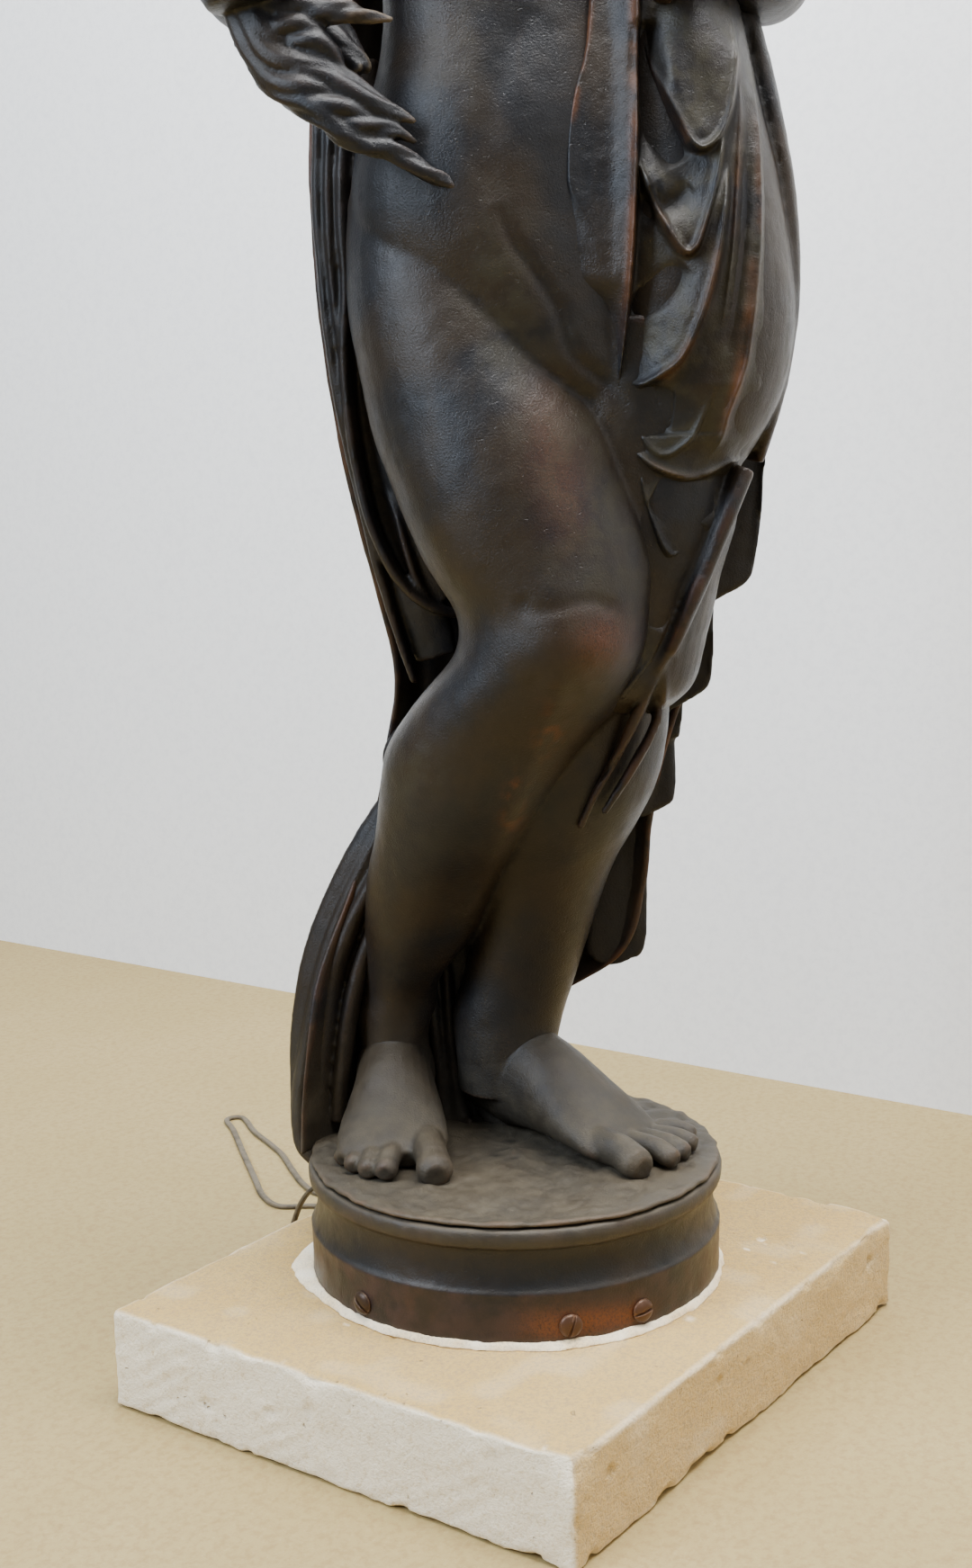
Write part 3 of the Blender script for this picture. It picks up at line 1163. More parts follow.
def head_and_hair(material):
    turn = Matrix.Rotation(HEAD_TURN, 4, "Z") @ Matrix.Rotation(HEAD_TILT, 4, "X")
    nose = [
        [0, -76, 124, 6, 5], [0, -84, 106, 6.5, 7], [0, -92, 90, 8, 8], [0, -95, 80, 11, 8],
        [0, -84, 73, 9, 5],
    ]
    ear = [
        [0, 0, 22, 3, 3], [0, 9, 26, 4, 4], [0, 15, 14, 4, 4], [0, 10, 0, 4, 4], [0, 3, -10, 5, 5],
        [0, -2, -4, 3, 3],
    ]
    shells = [limb(SKULL, 60, 44), stroke(nose, 18, 14, (0, -1, 0))]
    shells += [limb(
        [[0, 16, 60, 62, 66], [0, 10, 90, 66, 74], [0, 9, 130, 68, 80], [0, 8, 165, 64, 78],
         [0, 8, 194, 42, 52], [0, 8, 204, 14, 18]],
        30, 36,
    )]
    shells += [ball([side * 21, -68, 109], [11, 10, 10]) for side in (-1, 1)]
    for side in (-1, 1):
        rows = [[side * (60 + 0.25 * r[1]), -2 + 1.0 * r[1], 100 + r[2], r[3], r[4]] for r in ear]
        shells.append(stroke(rows, 20, 10, (side, 0, 0)))
    shells += eyelids() + locks()
    forms = face_forms()
    inverse = Matrix(turn).inverted()

    def carve(points, normals):
        own = (points - np.array(HEAD_PLACE)) @ np.array(inverse.to_3x3()).T / HEAD_SCALE
        return bumps(own, forms)

    placed = [moved(shell, turn, HEAD_PLACE, HEAD_SCALE) for shell in shells]
    placed.append(limb(
        [[12, 2, 1120, 52, 46], [14, 0, 1150, 43, 42], [15, -6, 1190, 40, 41], [14, -8, 1230, 40, 42]],
        20, 36,
    ))
    return cast("head_and_hair", placed, 1.9, 2, material, carve)


def wing(side):
    root = np.array([side * 44 + 22, 78 - side * 14, 1052], float)
    out = np.array([side * 0.93, 0.36 + side * 0.18, 0])
    out /= np.linalg.norm(out)
    flat = np.array([-out[1] * side, out[0] * side, 0])

    def at(reach, rise):
        return root + out * reach + [0, 0, rise]

    edge = [
        [*at(-10, -14), 16, 16], [*at(40, 52), 20, 18], [*at(95, 118), 20, 16],
        [*at(150, 138), 16, 13], [*at(196, 118), 9, 8],
    ]
    shells = [stroke(edge, 36, 20, flat)]

    def feather(t, length, wide, thick, start, offset):
        spot = between(edge, t)[0][:3]
        lean = 0.08 + 0.66 * t
        fall = 1 - 0.4 * t
        rows = []
        for k in range(9):
            s = start + (length - start) * k / 8
            point = spot + out * s * lean - np.array([0, 0, s * fall]) + flat * (offset + 3 * math.sin(k / 3))
            width = (
                wide * (0.75 + 0.25 * math.sin(math.pi * k / 8))
                * (1 if k < 7 else (0.72 if k == 7 else 0.22))
            )
            rows.append([*point, width, thick * (1 - 0.06 * k)])
        shells.append(stroke(rows, 22, 12, flat))

    for k in range(11):
        t = 0.1 + 0.9 * k / 10
        length = 112 + 108 * math.sin(math.pi * (0.2 + 0.55 * t))
        feather(t, length * (1 - 0.05 * (k % 2)), 11.5, 3.4, 20, 1.2 * (-1) ** k)
    for row, (count, share, offset) in enumerate(((12, 0.62, 4.0), (12, 0.42, 7.5), (11, 0.24, 10.0))):
        for k in range(count):
            t = 0.08 + 0.86 * (k + 0.5 * (row % 2)) / count
            length = (112 + 108 * math.sin(math.pi * (0.2 + 0.55 * t))) * share
            for face in (-1, 1):
                feather(t, length, 10.5, 2.6, 0, face * offset)
    return shells


def spread_wings(material):
    return cast("spread_wings", wing(-1) + wing(1), 2.2, 2, material)


def hand(wrist, palm, knuckles, bend, spread, thumb):
    (wx, wy, wz), (px, py, pz) = wrist, palm
    base = np.array(knuckles, float)
    shells = [stroke([[wx, wy, wz, 21, 19], [px, py, pz, 29, 17], [*knuckles, 31, 13]], 14, 18, bend[3])]
    for k, step in enumerate((-1.5, -0.5, 0.5, 1.5)):
        start = base + np.array(spread) * step
        size = (7.6, 8.4, 8.4, 7.8)[k]
        rows = (
            [[*start, size, size]]
            + [[*(start + np.array(b)), s, s] for b, s in zip(bend[:3], (size, size * 0.92, size * 0.7))]
        )
        shells.append(stroke(rows, 16, 12, spread))
    shells.append(stroke(thumb, 14, 12, bend[3]))
    return shells


FLAME_LOBES = [
    [[-186, -72, 892, 22], [-172, -78, 866, 20], [-158, -86, 836, 19], [-136, -92, 822, 17],
     [-114, -96, 810, 14], [-94, -97, 799, 11], [-75, -96, 790, 7], [-58, -94, 783, 2]],
    [[-178, -76, 872, 18], [-166, -82, 842, 18], [-152, -90, 818, 17], [-136, -97, 804, 15],
     [-120, -101, 796, 13], [-104, -102, 787, 11], [-90, -100, 780, 9], [-74, -98, 777, 6],
     [-58, -94, 769, 2]],
    [[-160, -84, 822, 15], [-146, -92, 806, 15], [-130, -99, 795, 13], [-118, -102, 785, 12],
     [-107, -102, 775, 11], [-93, -100, 768, 10], [-78, -98, 765, 9], [-65, -96, 757, 8],
     [-50, -94, 748, 7], [-36, -92, 742, 5], [-22, -90, 734, 1.6]],
    [[-174, -74, 906, 18], [-156, -80, 882, 18], [-140, -86, 864, 16], [-124, -92, 860, 13],
     [-108, -96, 857, 10], [-94, -96, 854, 7], [-72, -92, 852, 2]],
    [[-170, -78, 880, 16], [-152, -88, 856, 16], [-134, -94, 842, 14], [-118, -97, 828, 10],
     [-106, -95, 814, 3]],
    [[-186, -70, 880, 15], [-178, -74, 862, 14], [-168, -78, 840, 13], [-160, -82, 820, 12],
     [-146, -86, 804, 10], [-128, -88, 792, 7], [-112, -88, 782, 2]],
    [[-176, -62, 892, 22], [-150, -58, 872, 22], [-126, -56, 852, 20], [-108, -62, 836, 15],
     [-96, -70, 822, 8]],
    [[-190, -70, 870, 8], [-181, -76, 862, 9], [-173, -80, 850, 8], [-170, -82, 838, 5]],
    [[-182, -74, 846, 7], [-172, -80, 836, 9], [-164, -84, 826, 8], [-160, -86, 812, 5]],
]


def twisted(rows, strands, turns, phase):
    """Wavy strands wound round the middle line of one flame lobe, all ending in its tip."""
    count = 26
    shares = np.linspace(0, 1, count)
    rows = between(rows, shares)
    ahead = np.gradient(rows[:, :3], axis=0)
    ahead /= np.linalg.norm(ahead, axis=1)[:, None]
    across = np.cross(ahead, (-0.2, -1, 0.25))
    across /= np.linalg.norm(across, axis=1)[:, None]
    over = np.cross(across, ahead)
    shells = []
    for k in range(strands):
        turn = phase + 2 * math.pi * (k / strands + turns * shares) + 0.45 * np.sin(12 * shares + 2 * k)
        reach = rows[:, 3] * 0.52
        middle = (
            rows[:, :3] + across * (reach * np.cos(turn))[:, None]
            + over * (reach * 0.8 * np.sin(turn))[:, None]
        )
        wide = np.maximum(rows[:, 3] * (0.48 + 0.05 * np.sin(21 * shares + 3 * k)), 0.8)
        shells.append(stroke(np.column_stack([middle, wide, wide * 0.8]), 60, 8, (-0.2, -1, 0.25)))
    return shells


def torch_and_hands(material):
    top, foot = Vector((-206, -84, 1062)), Vector((-168, -84, 862))
    length = (top - foot).length
    profile = [
        [2, 0], [30, 4], [36, 12], [38, 20], [34, 30], [24, 42], [17, 50], [19, 55], [14, 60], [13, 130],
        [17, 188], [14, 196], [6, length], [1, length + 2],
    ]
    turn = Vector((0, 0, 1)).rotation_difference(top - foot).to_matrix().to_4x4()
    shells = [moved(lathe(between(profile, np.linspace(0, 1, 70)), 28), turn, foot)]
    for k, rows in enumerate(FLAME_LOBES):
        shells += twisted(rows, 5 if rows[0][3] > 10 else 2, 0.7 + 0.15 * (k % 3), 1.1 * k)
    shells += hand(
        wrist=[-190, -58, 954],
        palm=[-192, -82, 972],
        knuckles=[-188, -104, 980],
        bend=[[14, -12, -2], [22, 2, -4], [8, 12, -4], [1, 0, 0]],
        spread=[2, 2, -15],
        thumb=[[-200, -70, 968, 10, 10], [-206, -92, 984, 9, 9], [-196, -106, 1000, 8, 8],
               [-184, -104, 1006, 5, 5]],
    )
    shells += hand(
        wrist=[160, -72, 912],
        palm=[146, -94, 912],
        knuckles=[130, -106, 904],
        bend=[[-12, -8, -12], [-8, 2, -26], [4, 10, -30], [0.6, 0.8, 0]],
        spread=[9, -9, 6],
        thumb=[[150, -80, 922, 10, 10], [134, -84, 928, 9, 9], [118, -92, 922, 8, 8], [110, -96, 912, 5, 5]],
    )

    def stain(layers, points, normals):
        flame = ramp(points[:, 0], -150, -120) * (1 - ramp(points[:, 2], 850, 880))
        layers["dusty"] = np.maximum(layers["dusty"], flame * ramp(layers["rubbed"], 0.15, 0.7))
        layers["hollow"] = np.clip(layers["hollow"] * (1 + flame), 0, 1)
        layers["rubbed"] *= 0.5

    return cast("torch_and_hands", shells, 1.7, 2, material, None, stain)


def ground_patch(material):
    """Rough round patch of ground, with the foot of the cloak running into it."""
    radius, thick = 158.6, 16.0
    rings, sides = 110, 420
    angle = round_angles(sides)[None]
    share = np.sqrt(np.linspace(0.0004, 1, rings))[::-1][:, None]
    level = 1.0 - 1.6 * ramp(share, 0.6, 1.0) + 0 * angle
    x, y = radius * share * np.cos(angle), radius * share * np.sin(angle)
    flat = np.column_stack([x.ravel(), y.ravel(), np.zeros(x.size)])
    rough = (
        2.4 * noise(flat, 46, 1) + 1.6 * noise(flat, 19, 2) + 0.8 * noise(flat, 8, 3)
        + 0.35 * noise(flat, 3.5, 4)
    )
    level = level + rough.reshape(x.shape) * ramp(1 - share, -0.02, 0.05)
    top = np.stack([x, y, level], -1)
    unit = np.column_stack([np.cos(angle[0]), np.sin(angle[0]), 0 * angle[0]])
    reach = 163.2 + 1.6 * noise(unit * 165, 24, 5) + 1.0 * noise(unit * 165, 9, 6)
    side = 0 * reach + radius
    lip = [
        [side, -thick], [side, -8], [side, -3.9], [reach - 1.5, -3.9], [reach, -3.2], [reach + 0.3, -1.9],
        [reach - 0.6, -0.9], [reach - 2.2, -0.6],
    ]
    wall = np.stack([unit * np.reshape(out, (-1, 1)) + [0, 0, up] for out, up in lip])
    points, faces = skin(np.concatenate([wall, top]))
    mesh = new_mesh("ground_patch", points, faces)
    normals = facing(points, mesh)
    lump = ramp(np.hypot(points[:, 0], points[:, 1]), 140, 156) * ramp(normals[:, 2], -0.2, 0.3)
    points = (
        points
        + normals * (lump * (0.5 + 0.9 * noise(points, 13, 11) + 0.5 * noise(points, 6, 12)))[:, None]
    )
    normals = facing(points, mesh)

    def stain(layers, points, normals):
        layers["dusty"] = 0.9 + 0.15 * noise(points, 60, 9)

    return casting("ground_patch", mesh, points, normals, 2.0, material, stain)


# Ring, screws, mortar and stone

RING_PROFILE = [
    [155, 80.3], [160, 80.3], [164.2, 80.3], [164.8, 81.2], [165, 88], [165, 98], [165.1, 108],
    [165.2, 116], [165.4, 119.6], [165.6, 121.4], [165.2, 122.6], [164.2, 123.8], [163, 126],
    [161.7, 130], [160.6, 135], [160, 140], [159.8, 145], [160.2, 149.6], [161, 153], [162, 155.2],
    [163.6, 156.2], [165, 157.4], [166.2, 159.6], [166.8, 162.4], [166.8, 165.6], [166.2, 168.4],
    [164.8, 170.4], [162.8, 171.2], [160.6, 171], [159.2, 170.2], [159.1, 166], [159.1, 160],
    [134.1, 160], [134.1, 152], [155, 148],
]


def ring_finish():
    inputs = {
        "Dark": (0.012, 0.0125, 0.014, 1),
        "Brown": (0.024, 0.018, 0.014, 1),
        "Olive": (0.047, 0.027, 0.024, 1),
        "Rubbed_colour": (0.07, 0.045, 0.03, 1),
        "Rust_colour": (0.15, 0.045, 0.015, 1),
    }
    return patina_finish("ring iron patina", inputs, 0.05, 0.6, 0.0010)


def dense(profile, step):
    """The closed profile with points at least every step along its sides."""
    found = []
    for (r, z), (next_r, next_z) in zip(profile, profile[1:] + profile[:1]):
        count = max(1, math.ceil(math.hypot(next_r - r, next_z - z) / step))
        found += [[r + (next_r - r) * k / count, z + (next_z - z) * k / count] for k in range(count)]
    return np.array(found)


def ring_moulding():
    points, faces = lathe(dense(RING_PROFILE, 2.4), 420, closed=True)
    mesh = new_mesh("ring_moulding", points, faces)
    edges = read_edges(mesh)
    points = softened(points, edges, 1)
    normals = facing(points, mesh)
    outer = ramp(np.hypot(points[:, 0], points[:, 1]), 156, 159)
    swell = 0.35 * noise(points, 42, 1) + 0.3 * noise(points, 13, 2) + 0.2 * noise(points, 5, 3)
    points = points + normals * (swell * outer)[:, None]
    normals = facing(points, mesh)
    band = 1 - ramp(points[:, 2], 120, 124)
    rim = ramp(points[:, 2], 154, 158)

    def stain(layers, points, normals):
        layers["warm"] = (
            band * (0.75 + 0.25 * noise(points, 30, 4)) + rim * (0.35 + 0.35 * noise(points, 25, 6))
        )
        worn = bumps(points, [([-108, -124, 97], [34, 30, 11], 1.1), ([-72, -148, 95], [26, 26, 10], 0.7)])
        patches = ramp(noise(points, 26, 7) + 0.5 * noise(points, 9, 8), 0.35, 0.9)
        layers["rusty"] = band * (0.85 * worn + 0.12 * patches)
        layers["dusty"] = (
            0.45 * rim + 0.5 * ramp(normals[:, 2], 0.3, 0.95) + 0.45 * (1 - ramp(points[:, 2], 81, 90))
        )
        layers["hollow"] = np.clip(
            layers["hollow"] + 0.4 * ramp(noise(points, 18, 9), 0.3, 0.8) * (1 - band), 0, 1
        )

    mark(mesh, points, normals, curvature(points, normals, edges, 2.0), stain)
    set_points(mesh, points * MM)
    return add_object("ring_moulding", mesh, ring_finish(), "base_ring")


BAND_RADIUS = 165.3
SCREW_LEVEL = 96
SCREW_ANGLES = (-131.4, -110.6, -25, 45, 169.8)
SCREW_TURNS = (72, 8, 55, 20, 145)
SCREW_COLOURS = {
    "Dark": (0.035, 0.02, 0.013, 1),
    "Brown": (0.085, 0.04, 0.022, 1),
    "Olive": (0.06, 0.035, 0.02, 1),
    "Rubbed_colour": (0.28, 0.14, 0.07, 1),
}


def screw_head(number, angle, slot_turn):
    """Slotted dome in two halves over the floor of its slot, facing out along +X."""
    radius, tall, slot, deep = 9.0, 4.2, 2.6, 2.0
    shells = []
    for side in (-1, 1):
        start = math.asin(slot / 2 / radius)
        arc = np.linspace(start, math.pi - start, 40)
        outline = np.column_stack([radius * np.cos(arc), side * radius * np.sin(arc)])
        flat = np.linspace(outline[-1], outline[0], 24)[1:-1]
        outline = np.vstack([outline, flat])
        if side < 0:
            outline = outline[::-1]
        centre = np.array([0, side * radius * 0.5])
        rings = [np.column_stack([np.full(len(outline), 0.0), outline])]
        for share in np.linspace(1, 0.02, 20):
            place = centre + (outline - centre) * share
            away = np.linalg.norm(place, axis=1) / radius
            edge = 1 - 0.12 * ramp(np.full(len(outline), share), 0.9, 1.0)
            rise = tall * np.sqrt(np.clip(1.04 - away**2.6, 0.02, 1)) * edge
            rings.append(np.column_stack([rise, place]))
        shells.append(skin(np.array(rings)))
    floor = [
        [0.5, -14.5], [4.1, -14.5], [4.1, 0], [radius * 0.97, 0.02], [radius * 0.97, tall - deep - 1.2],
        [0.3, tall - deep],
    ]
    points, faces = lathe(floor, 40)
    shells.append((points[:, [2, 0, 1]], faces))
    points, faces = gather(shells)
    across, up = turned(points[:, 1], points[:, 2], math.radians(slot_turn))
    x, y = turned(points[:, 0] + BAND_RADIUS, across, math.radians(angle))
    points = np.column_stack([x, y, up + SCREW_LEVEL])
    mesh = new_mesh(f"screw_head_{number}", points, faces)
    edges = read_edges(mesh)
    normals = facing(points, mesh)
    points = points + normals * (0.1 * noise(points, 2.5, number))[:, None]
    mark(mesh, points, normals, curvature(points, normals, edges, 1.0))
    set_points(mesh, points * MM)
    finish = patina_finish("rusted screw", SCREW_COLOURS, 0.35, 0.4, 0.0004)
    return add_object(f"screw_head_{number}", mesh, finish, f"screw_{number}")


def mortar_bed():
    count, across = 560, 12
    inner, foot = 164.6, 80.1
    angle = round_angles(count)
    unit = np.column_stack([np.cos(angle), np.sin(angle), 0 * angle])
    away = np.arctan2(np.sin(angle - math.radians(127)), np.cos(angle - math.radians(127)))
    width = (
        3.4 + 1.6 * noise(unit * 165, 24, 1) + 1.2 * noise(unit * 165, 8, 2)
        + 14 * np.exp(-((away / 0.3) ** 2))
    )
    width += 3 * np.clip(noise(unit * 165, 40, 5), 0, 1)
    height = 4.6 + 1.0 * noise(unit * 165, 17, 3) + 0.5 * noise(unit * 165, 6, 4)
    rings = []
    for k in range(count):
        section = [[inner, foot], [BAND_RADIUS + width[k] * 1.02, foot]]
        for share in np.linspace(1, 0, across):
            section.append([
                BAND_RADIUS + width[k] * share, 80.35 + height[k] * (1 - share**1.6) ** 0.8 + 0.25
            ])
        section.append([inner, foot + 0.2 + height[k]])
        section = np.array(section)
        rings.append(np.column_stack([unit[k, 0] * section[:, 0], unit[k, 1] * section[:, 0], section[:, 1]]))
    rings = np.array(rings)
    points, faces = skin(np.concatenate([rings, rings[:1]]))
    total = rings.shape[0] * rings.shape[1]
    points, faces = points[:total], [[v % total for v in face] for face in faces[:-2]]
    mesh = new_mesh("mortar_bed", points, faces)
    normals = facing(points, mesh)
    points = points + normals * (0.45 * noise(points, 4, 6) + 0.3 * noise(points, 1.8, 7))[:, None]
    keep_layer(mesh, "paleness", 0.55 + 0.45 * noise(points, 14, 8))
    set_points(mesh, points * MM)
    inputs = {
        "Base": (0.86, 0.67, 0.38, 1), "Pale": (0.95, 0.82, 0.58, 1), "Stain": (0.38, 0.3, 0.2, 1),
        "Scale": 1.4,
    }
    finish = finish_of(
        "dry mortar", shared("stone"), inputs, 0.0, 0.7, 0.0012, rough=0.95, layers=("Paleness",)
    )
    return add_object("mortar_bed", mesh, finish, "mortar_ring")


def block_grid(counts):
    """Points and quads of a box divided evenly, with whole numbers for places."""
    quads = []
    for axis in range(3):
        u, v = (axis + 1) % 3, (axis + 2) % 3
        for end in (0, counts[axis]):
            i, j = np.meshgrid(np.arange(counts[u]), np.arange(counts[v]), indexing="ij")
            corners = []
            for du, dv in ((0, 0), (1, 0), (1, 1), (0, 1)):
                place = np.zeros(i.shape + (3,), int)
                place[..., axis], place[..., u], place[..., v] = end, i + du, j + dv
                corners.append(place)
            corners = corners if end else corners[::-1]
            quads.append(np.stack(corners, -2).reshape(-1, 4, 3))
    quads = np.concatenate(quads)
    points, index = np.unique(quads.reshape(-1, 3), axis=0, return_inverse=True)
    return points.astype(float), index.reshape(-1, 4).tolist()


def stone_block():
    counts = (168, 142, 27)
    grid, faces = block_grid(counts)
    low, high = (np.array(corner) * 1000 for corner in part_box("stone_slab"))
    half, middle = (high - low) / 2 - [0.6, 0.6, 0.2], (high + low) / 2
    points = (grid / counts - 0.5) * 2 * half
    soft = 4.0 + 2.2 * noise(points, 30, 1)[:, None]
    core = np.clip(points, -(half - soft), half - soft)
    out = points - core
    reach = np.linalg.norm(out, axis=1, keepdims=True)
    points = core + out / np.maximum(reach, 1e-9) * np.minimum(reach, soft)
    mesh = new_mesh("stone_block", points, faces)
    normals = facing(points, mesh)
    top, left = ramp(normals[:, 2], 0.5, 0.9), ramp(-normals[:, 0], 0.5, 0.9)
    rough = (
        1.1 * noise(points, 60, 2) + 0.8 * noise(points, 21, 3) + 0.55 * noise(points, 9, 4)
        + 0.3 * noise(points, 4.5, 5)
    )
    saw = (
        np.sin((points[:, 1] * 0.5 + points[:, 2] * 0.87) / 2.1 + 1.5 * noise(points, 50, 6))
        * ramp(noise(points, 35, 7), -0.2, 0.5)
    )
    pits = -2.6 * ramp(noise(points, 13, 8), 0.62, 0.8)
    edge = np.sort(half - np.abs(points), axis=1)[:, 1]
    broken = -2.8 * ramp(noise(points, 16, 9), 0.15, 0.75) * (1 - ramp(edge, 2, 9))
    push = rough * (1 - 0.55 * top) + 0.45 * saw * left + pits * (1 - 0.5 * top) + broken - 1.0 * (1 - top)
    corner = bumps(
        points,
        [([-half[0], -half[1], half[2]], [20, 20, 16], 1.0),
         ([half[0] - 20, -half[1], half[2]], [26, 10, 8], 0.4)],
    )
    points = (
        points + normals * push[:, None]
        - (points / np.linalg.norm(points, axis=1)[:, None]) * (9 * corner)[:, None]
    )
    points[:, 2] = np.clip(points[:, 2], -half[2] + 0.1, half[2] + 0.1)
    bruised = 0.12 * ramp(noise(points, 30, 10), 0.2, 0.9) + 0.4 * (1 - ramp(edge, 1, 6))
    bruised += top * ramp(noise(points, 6, 13), 0.6, 0.75) * ramp(noise(points, 50, 14), 0.1, 0.5)
    keep_layer(mesh, "paleness", left * 0.95 + (1 - top - left).clip(0, 1) * 0.12 + bruised)
    set_points(mesh, (points + middle) * MM)
    sizes = bpy.context.scene.cupid_block
    finish = finish_of(
        "rough sawn stone", shared("stone"), {"Base": (*sizes.stone_colour, 1)}, 0.0, 1.0, 0.0026,
        rough=0.93, layers=("Paleness",),
    )
    return add_object("stone_block", mesh, finish, "stone_slab")


# Cord

EXIT = (0.0, 0.1813, 0.103)
DROP_ROUTE = [
    [0, 0, 0], [18, 0, -0.5], [36, 0, -8], [50, 0, -24], [60, 0, -46], [68, 0, -69], [78, 0, -86],
    [92, 1, -98],
]
FLOOR_ROUTE = [
    [-236, 172], [-228, 202], [-208, 224], [-184, 242], [-164, 264], [-158, 289], [-172, 310],
    [-201, 320], [-233, 320], [-252, 346], [-267, 395], [-290, 475], [-310, 546], [-322, 582],
    [-306, 588], [-286, 540], [-264, 500], [-247, 466], [-232, 422], [-216, 380], [-198, 352],
    [-172, 341], [-145, 342],
]
COIL_CENTRE = (-112, 396)
PLUG_PLACE = (-72, 432)
FLEX_LEVEL = 2.2


def flex_route():
    """Points of the flex in millimetres in the row frame, from inside its sleeve to its plug."""
    route = [[0, EXIT[1] * 1000 - 9, EXIT[2] * 1000]]
    for out, along, down in DROP_ROUTE:
        route.append([-along, EXIT[1] * 1000 + out, max(EXIT[2] * 1000 + down, FLEX_LEVEL)])
    route += [[*turned(x, y, FIGURE_TURN), FLEX_LEVEL] for x, y in FLOOR_ROUTE]
    turns = 4 + 80 / 360
    for k in range(1, int(turns * 24) + 1):
        turn = k / 24
        inner = ramp(turn, 0.82, 1.0) - ramp(turn, 2.82, 3.0)
        radius = 40.75 - 6.5 * inner + 2.5 * (1 - ramp(turn, 0, 0.12))
        level = FLEX_LEVEL + 4.2 * ramp(turn, 1.82, 2.0) + 4.1 * ramp(turn, 3.9, 4.04)
        angle = math.radians(-80) + 2 * math.pi * turn
        x, y = COIL_CENTRE[0] + radius * math.cos(angle), COIL_CENTRE[1] + radius * math.sin(angle)
        route.append([*turned(x, y, FIGURE_TURN), level])
    for ahead, level in ((-16, 9.5), (-1, 7.2), (6, 7)):
        route.append([*turned(PLUG_PLACE[0], PLUG_PLACE[1] + ahead, FIGURE_TURN), level])
    return np.array(route, float)


def smooth_path(points, step):
    """Evenly spaced points on one smooth curve through the given ones."""
    knots = np.concatenate([[0], np.cumsum(np.sqrt(np.linalg.norm(np.diff(points, axis=0), axis=1)))])
    slope = np.empty_like(points)
    slope[1:-1] = (points[2:] - points[:-2]) / (knots[2:] - knots[:-2])[:, None]
    slope[0] = (points[1] - points[0]) / knots[1]
    slope[-1] = (points[-1] - points[-2]) / (knots[-1] - knots[-2])
    found = []
    for k in range(len(points) - 1):
        t, span = np.linspace(0, 1, 24, endpoint=False)[:, None], knots[k + 1] - knots[k]
        a, b = points[k], points[k + 1]
        found.append(
            a * (1 + 2 * t) * (1 - t) ** 2 + slope[k] * span * t * (1 - t) ** 2
            + b * t**2 * (3 - 2 * t) + slope[k + 1] * span * t**2 * (t - 1)
        )
    line = np.vstack(found + [points[-1:]])
    along = np.concatenate([[0], np.cumsum(np.linalg.norm(np.diff(line, axis=0), axis=1))])
    even = np.linspace(0, along[-1], int(along[-1] / step) + 1)
    return np.column_stack([np.interp(even, along, line[:, k]) for k in range(3)])


def flex_section():
    """Outline of the flat twin flex: two cores side by side in one sheath."""
    angle = round_angles(24)
    across = 3.25 * np.sign(np.cos(angle)) * np.abs(np.cos(angle)) ** 0.8
    tall = 2.0 * np.sign(np.sin(angle)) * np.abs(np.sin(angle)) ** 0.75
    return across, tall * (1 - 0.24 * np.exp(-((across / 0.8) ** 2)))


def plastic_finish(name, clean, grime, rough, bump):
    inputs = {"Clean": (*clean, 1), "Grime": (*grime, 1), "Roughness": rough}
    return finish_of(name, shared("scuffs"), inputs, 0.0, bump, 0.0002)


def cord_set():
    """The flat flex from its sleeve over the stone to a coil and a plug on the floor."""
    sizes = bpy.context.scene.cupid_cord
    path = smooth_path(flex_route(), 5.0)
    ahead = np.gradient(path, axis=0)
    ahead /= np.linalg.norm(ahead, axis=1)[:, None]
    plan = ahead * [1, 1, 0]
    for _ in range(6):
        plan[1:-1] = (plan[:-2] + 2 * plan[1:-1] + plan[2:]) / 4
    side = np.cross(plan, [0, 0, 1])
    side /= np.linalg.norm(side, axis=1)[:, None]
    over = np.cross(side, ahead)
    across, tall = flex_section()
    rings = path[:, None] + side[:, None] * across[None, :, None] + over[:, None] * tall[None, :, None]
    points, faces = skin(rings)
    mesh = new_mesh("flex_lead", points * MM, faces)
    sheath = plastic_finish("olive flex sheath", sizes.flex_colour, (0.05, 0.04, 0.028), 0.42, 0.25)
    flex = add_object("flex_lead", mesh, sheath, "cord")
    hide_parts("cord_coil")
    sleeve, plug = lead_sleeve(), lead_plug()
    length = float(np.linalg.norm(np.diff(path, axis=0), axis=1).sum()) / 1000
    return sleeve


def lead_sleeve():
    """Ribbed rubber sleeve that fills the hole in the ring and grips the flex."""
    profile = [[0.5, 155], [7.4, 155.2], [7.5, 164.8], [8.6, 165.4], [8.8, 167.6], [7.6, 168.4]]
    for k in range(4):
        start, size = 169 + 2.7 * k, 6.6 - 0.55 * k
        profile += [
            [size - 0.9, start], [size - 0.9, start + 0.7], [size, start + 1.1], [size - 0.1, start + 2.2]
        ]
    profile += [[4.3, 180.2], [4.2, 181], [1.5, 181]]
    points, faces = lathe(profile, 48)
    points = np.column_stack([-points[:, 0], points[:, 2], points[:, 1] + EXIT[2] * 1000])
    mesh = new_mesh("lead_sleeve", points * MM, faces)
    finish = plastic_finish("black sleeve rubber", (0.012, 0.012, 0.012), (0.03, 0.028, 0.024), 0.6, 0.35)
    return add_object("lead_sleeve", mesh, finish, "cord_gland")


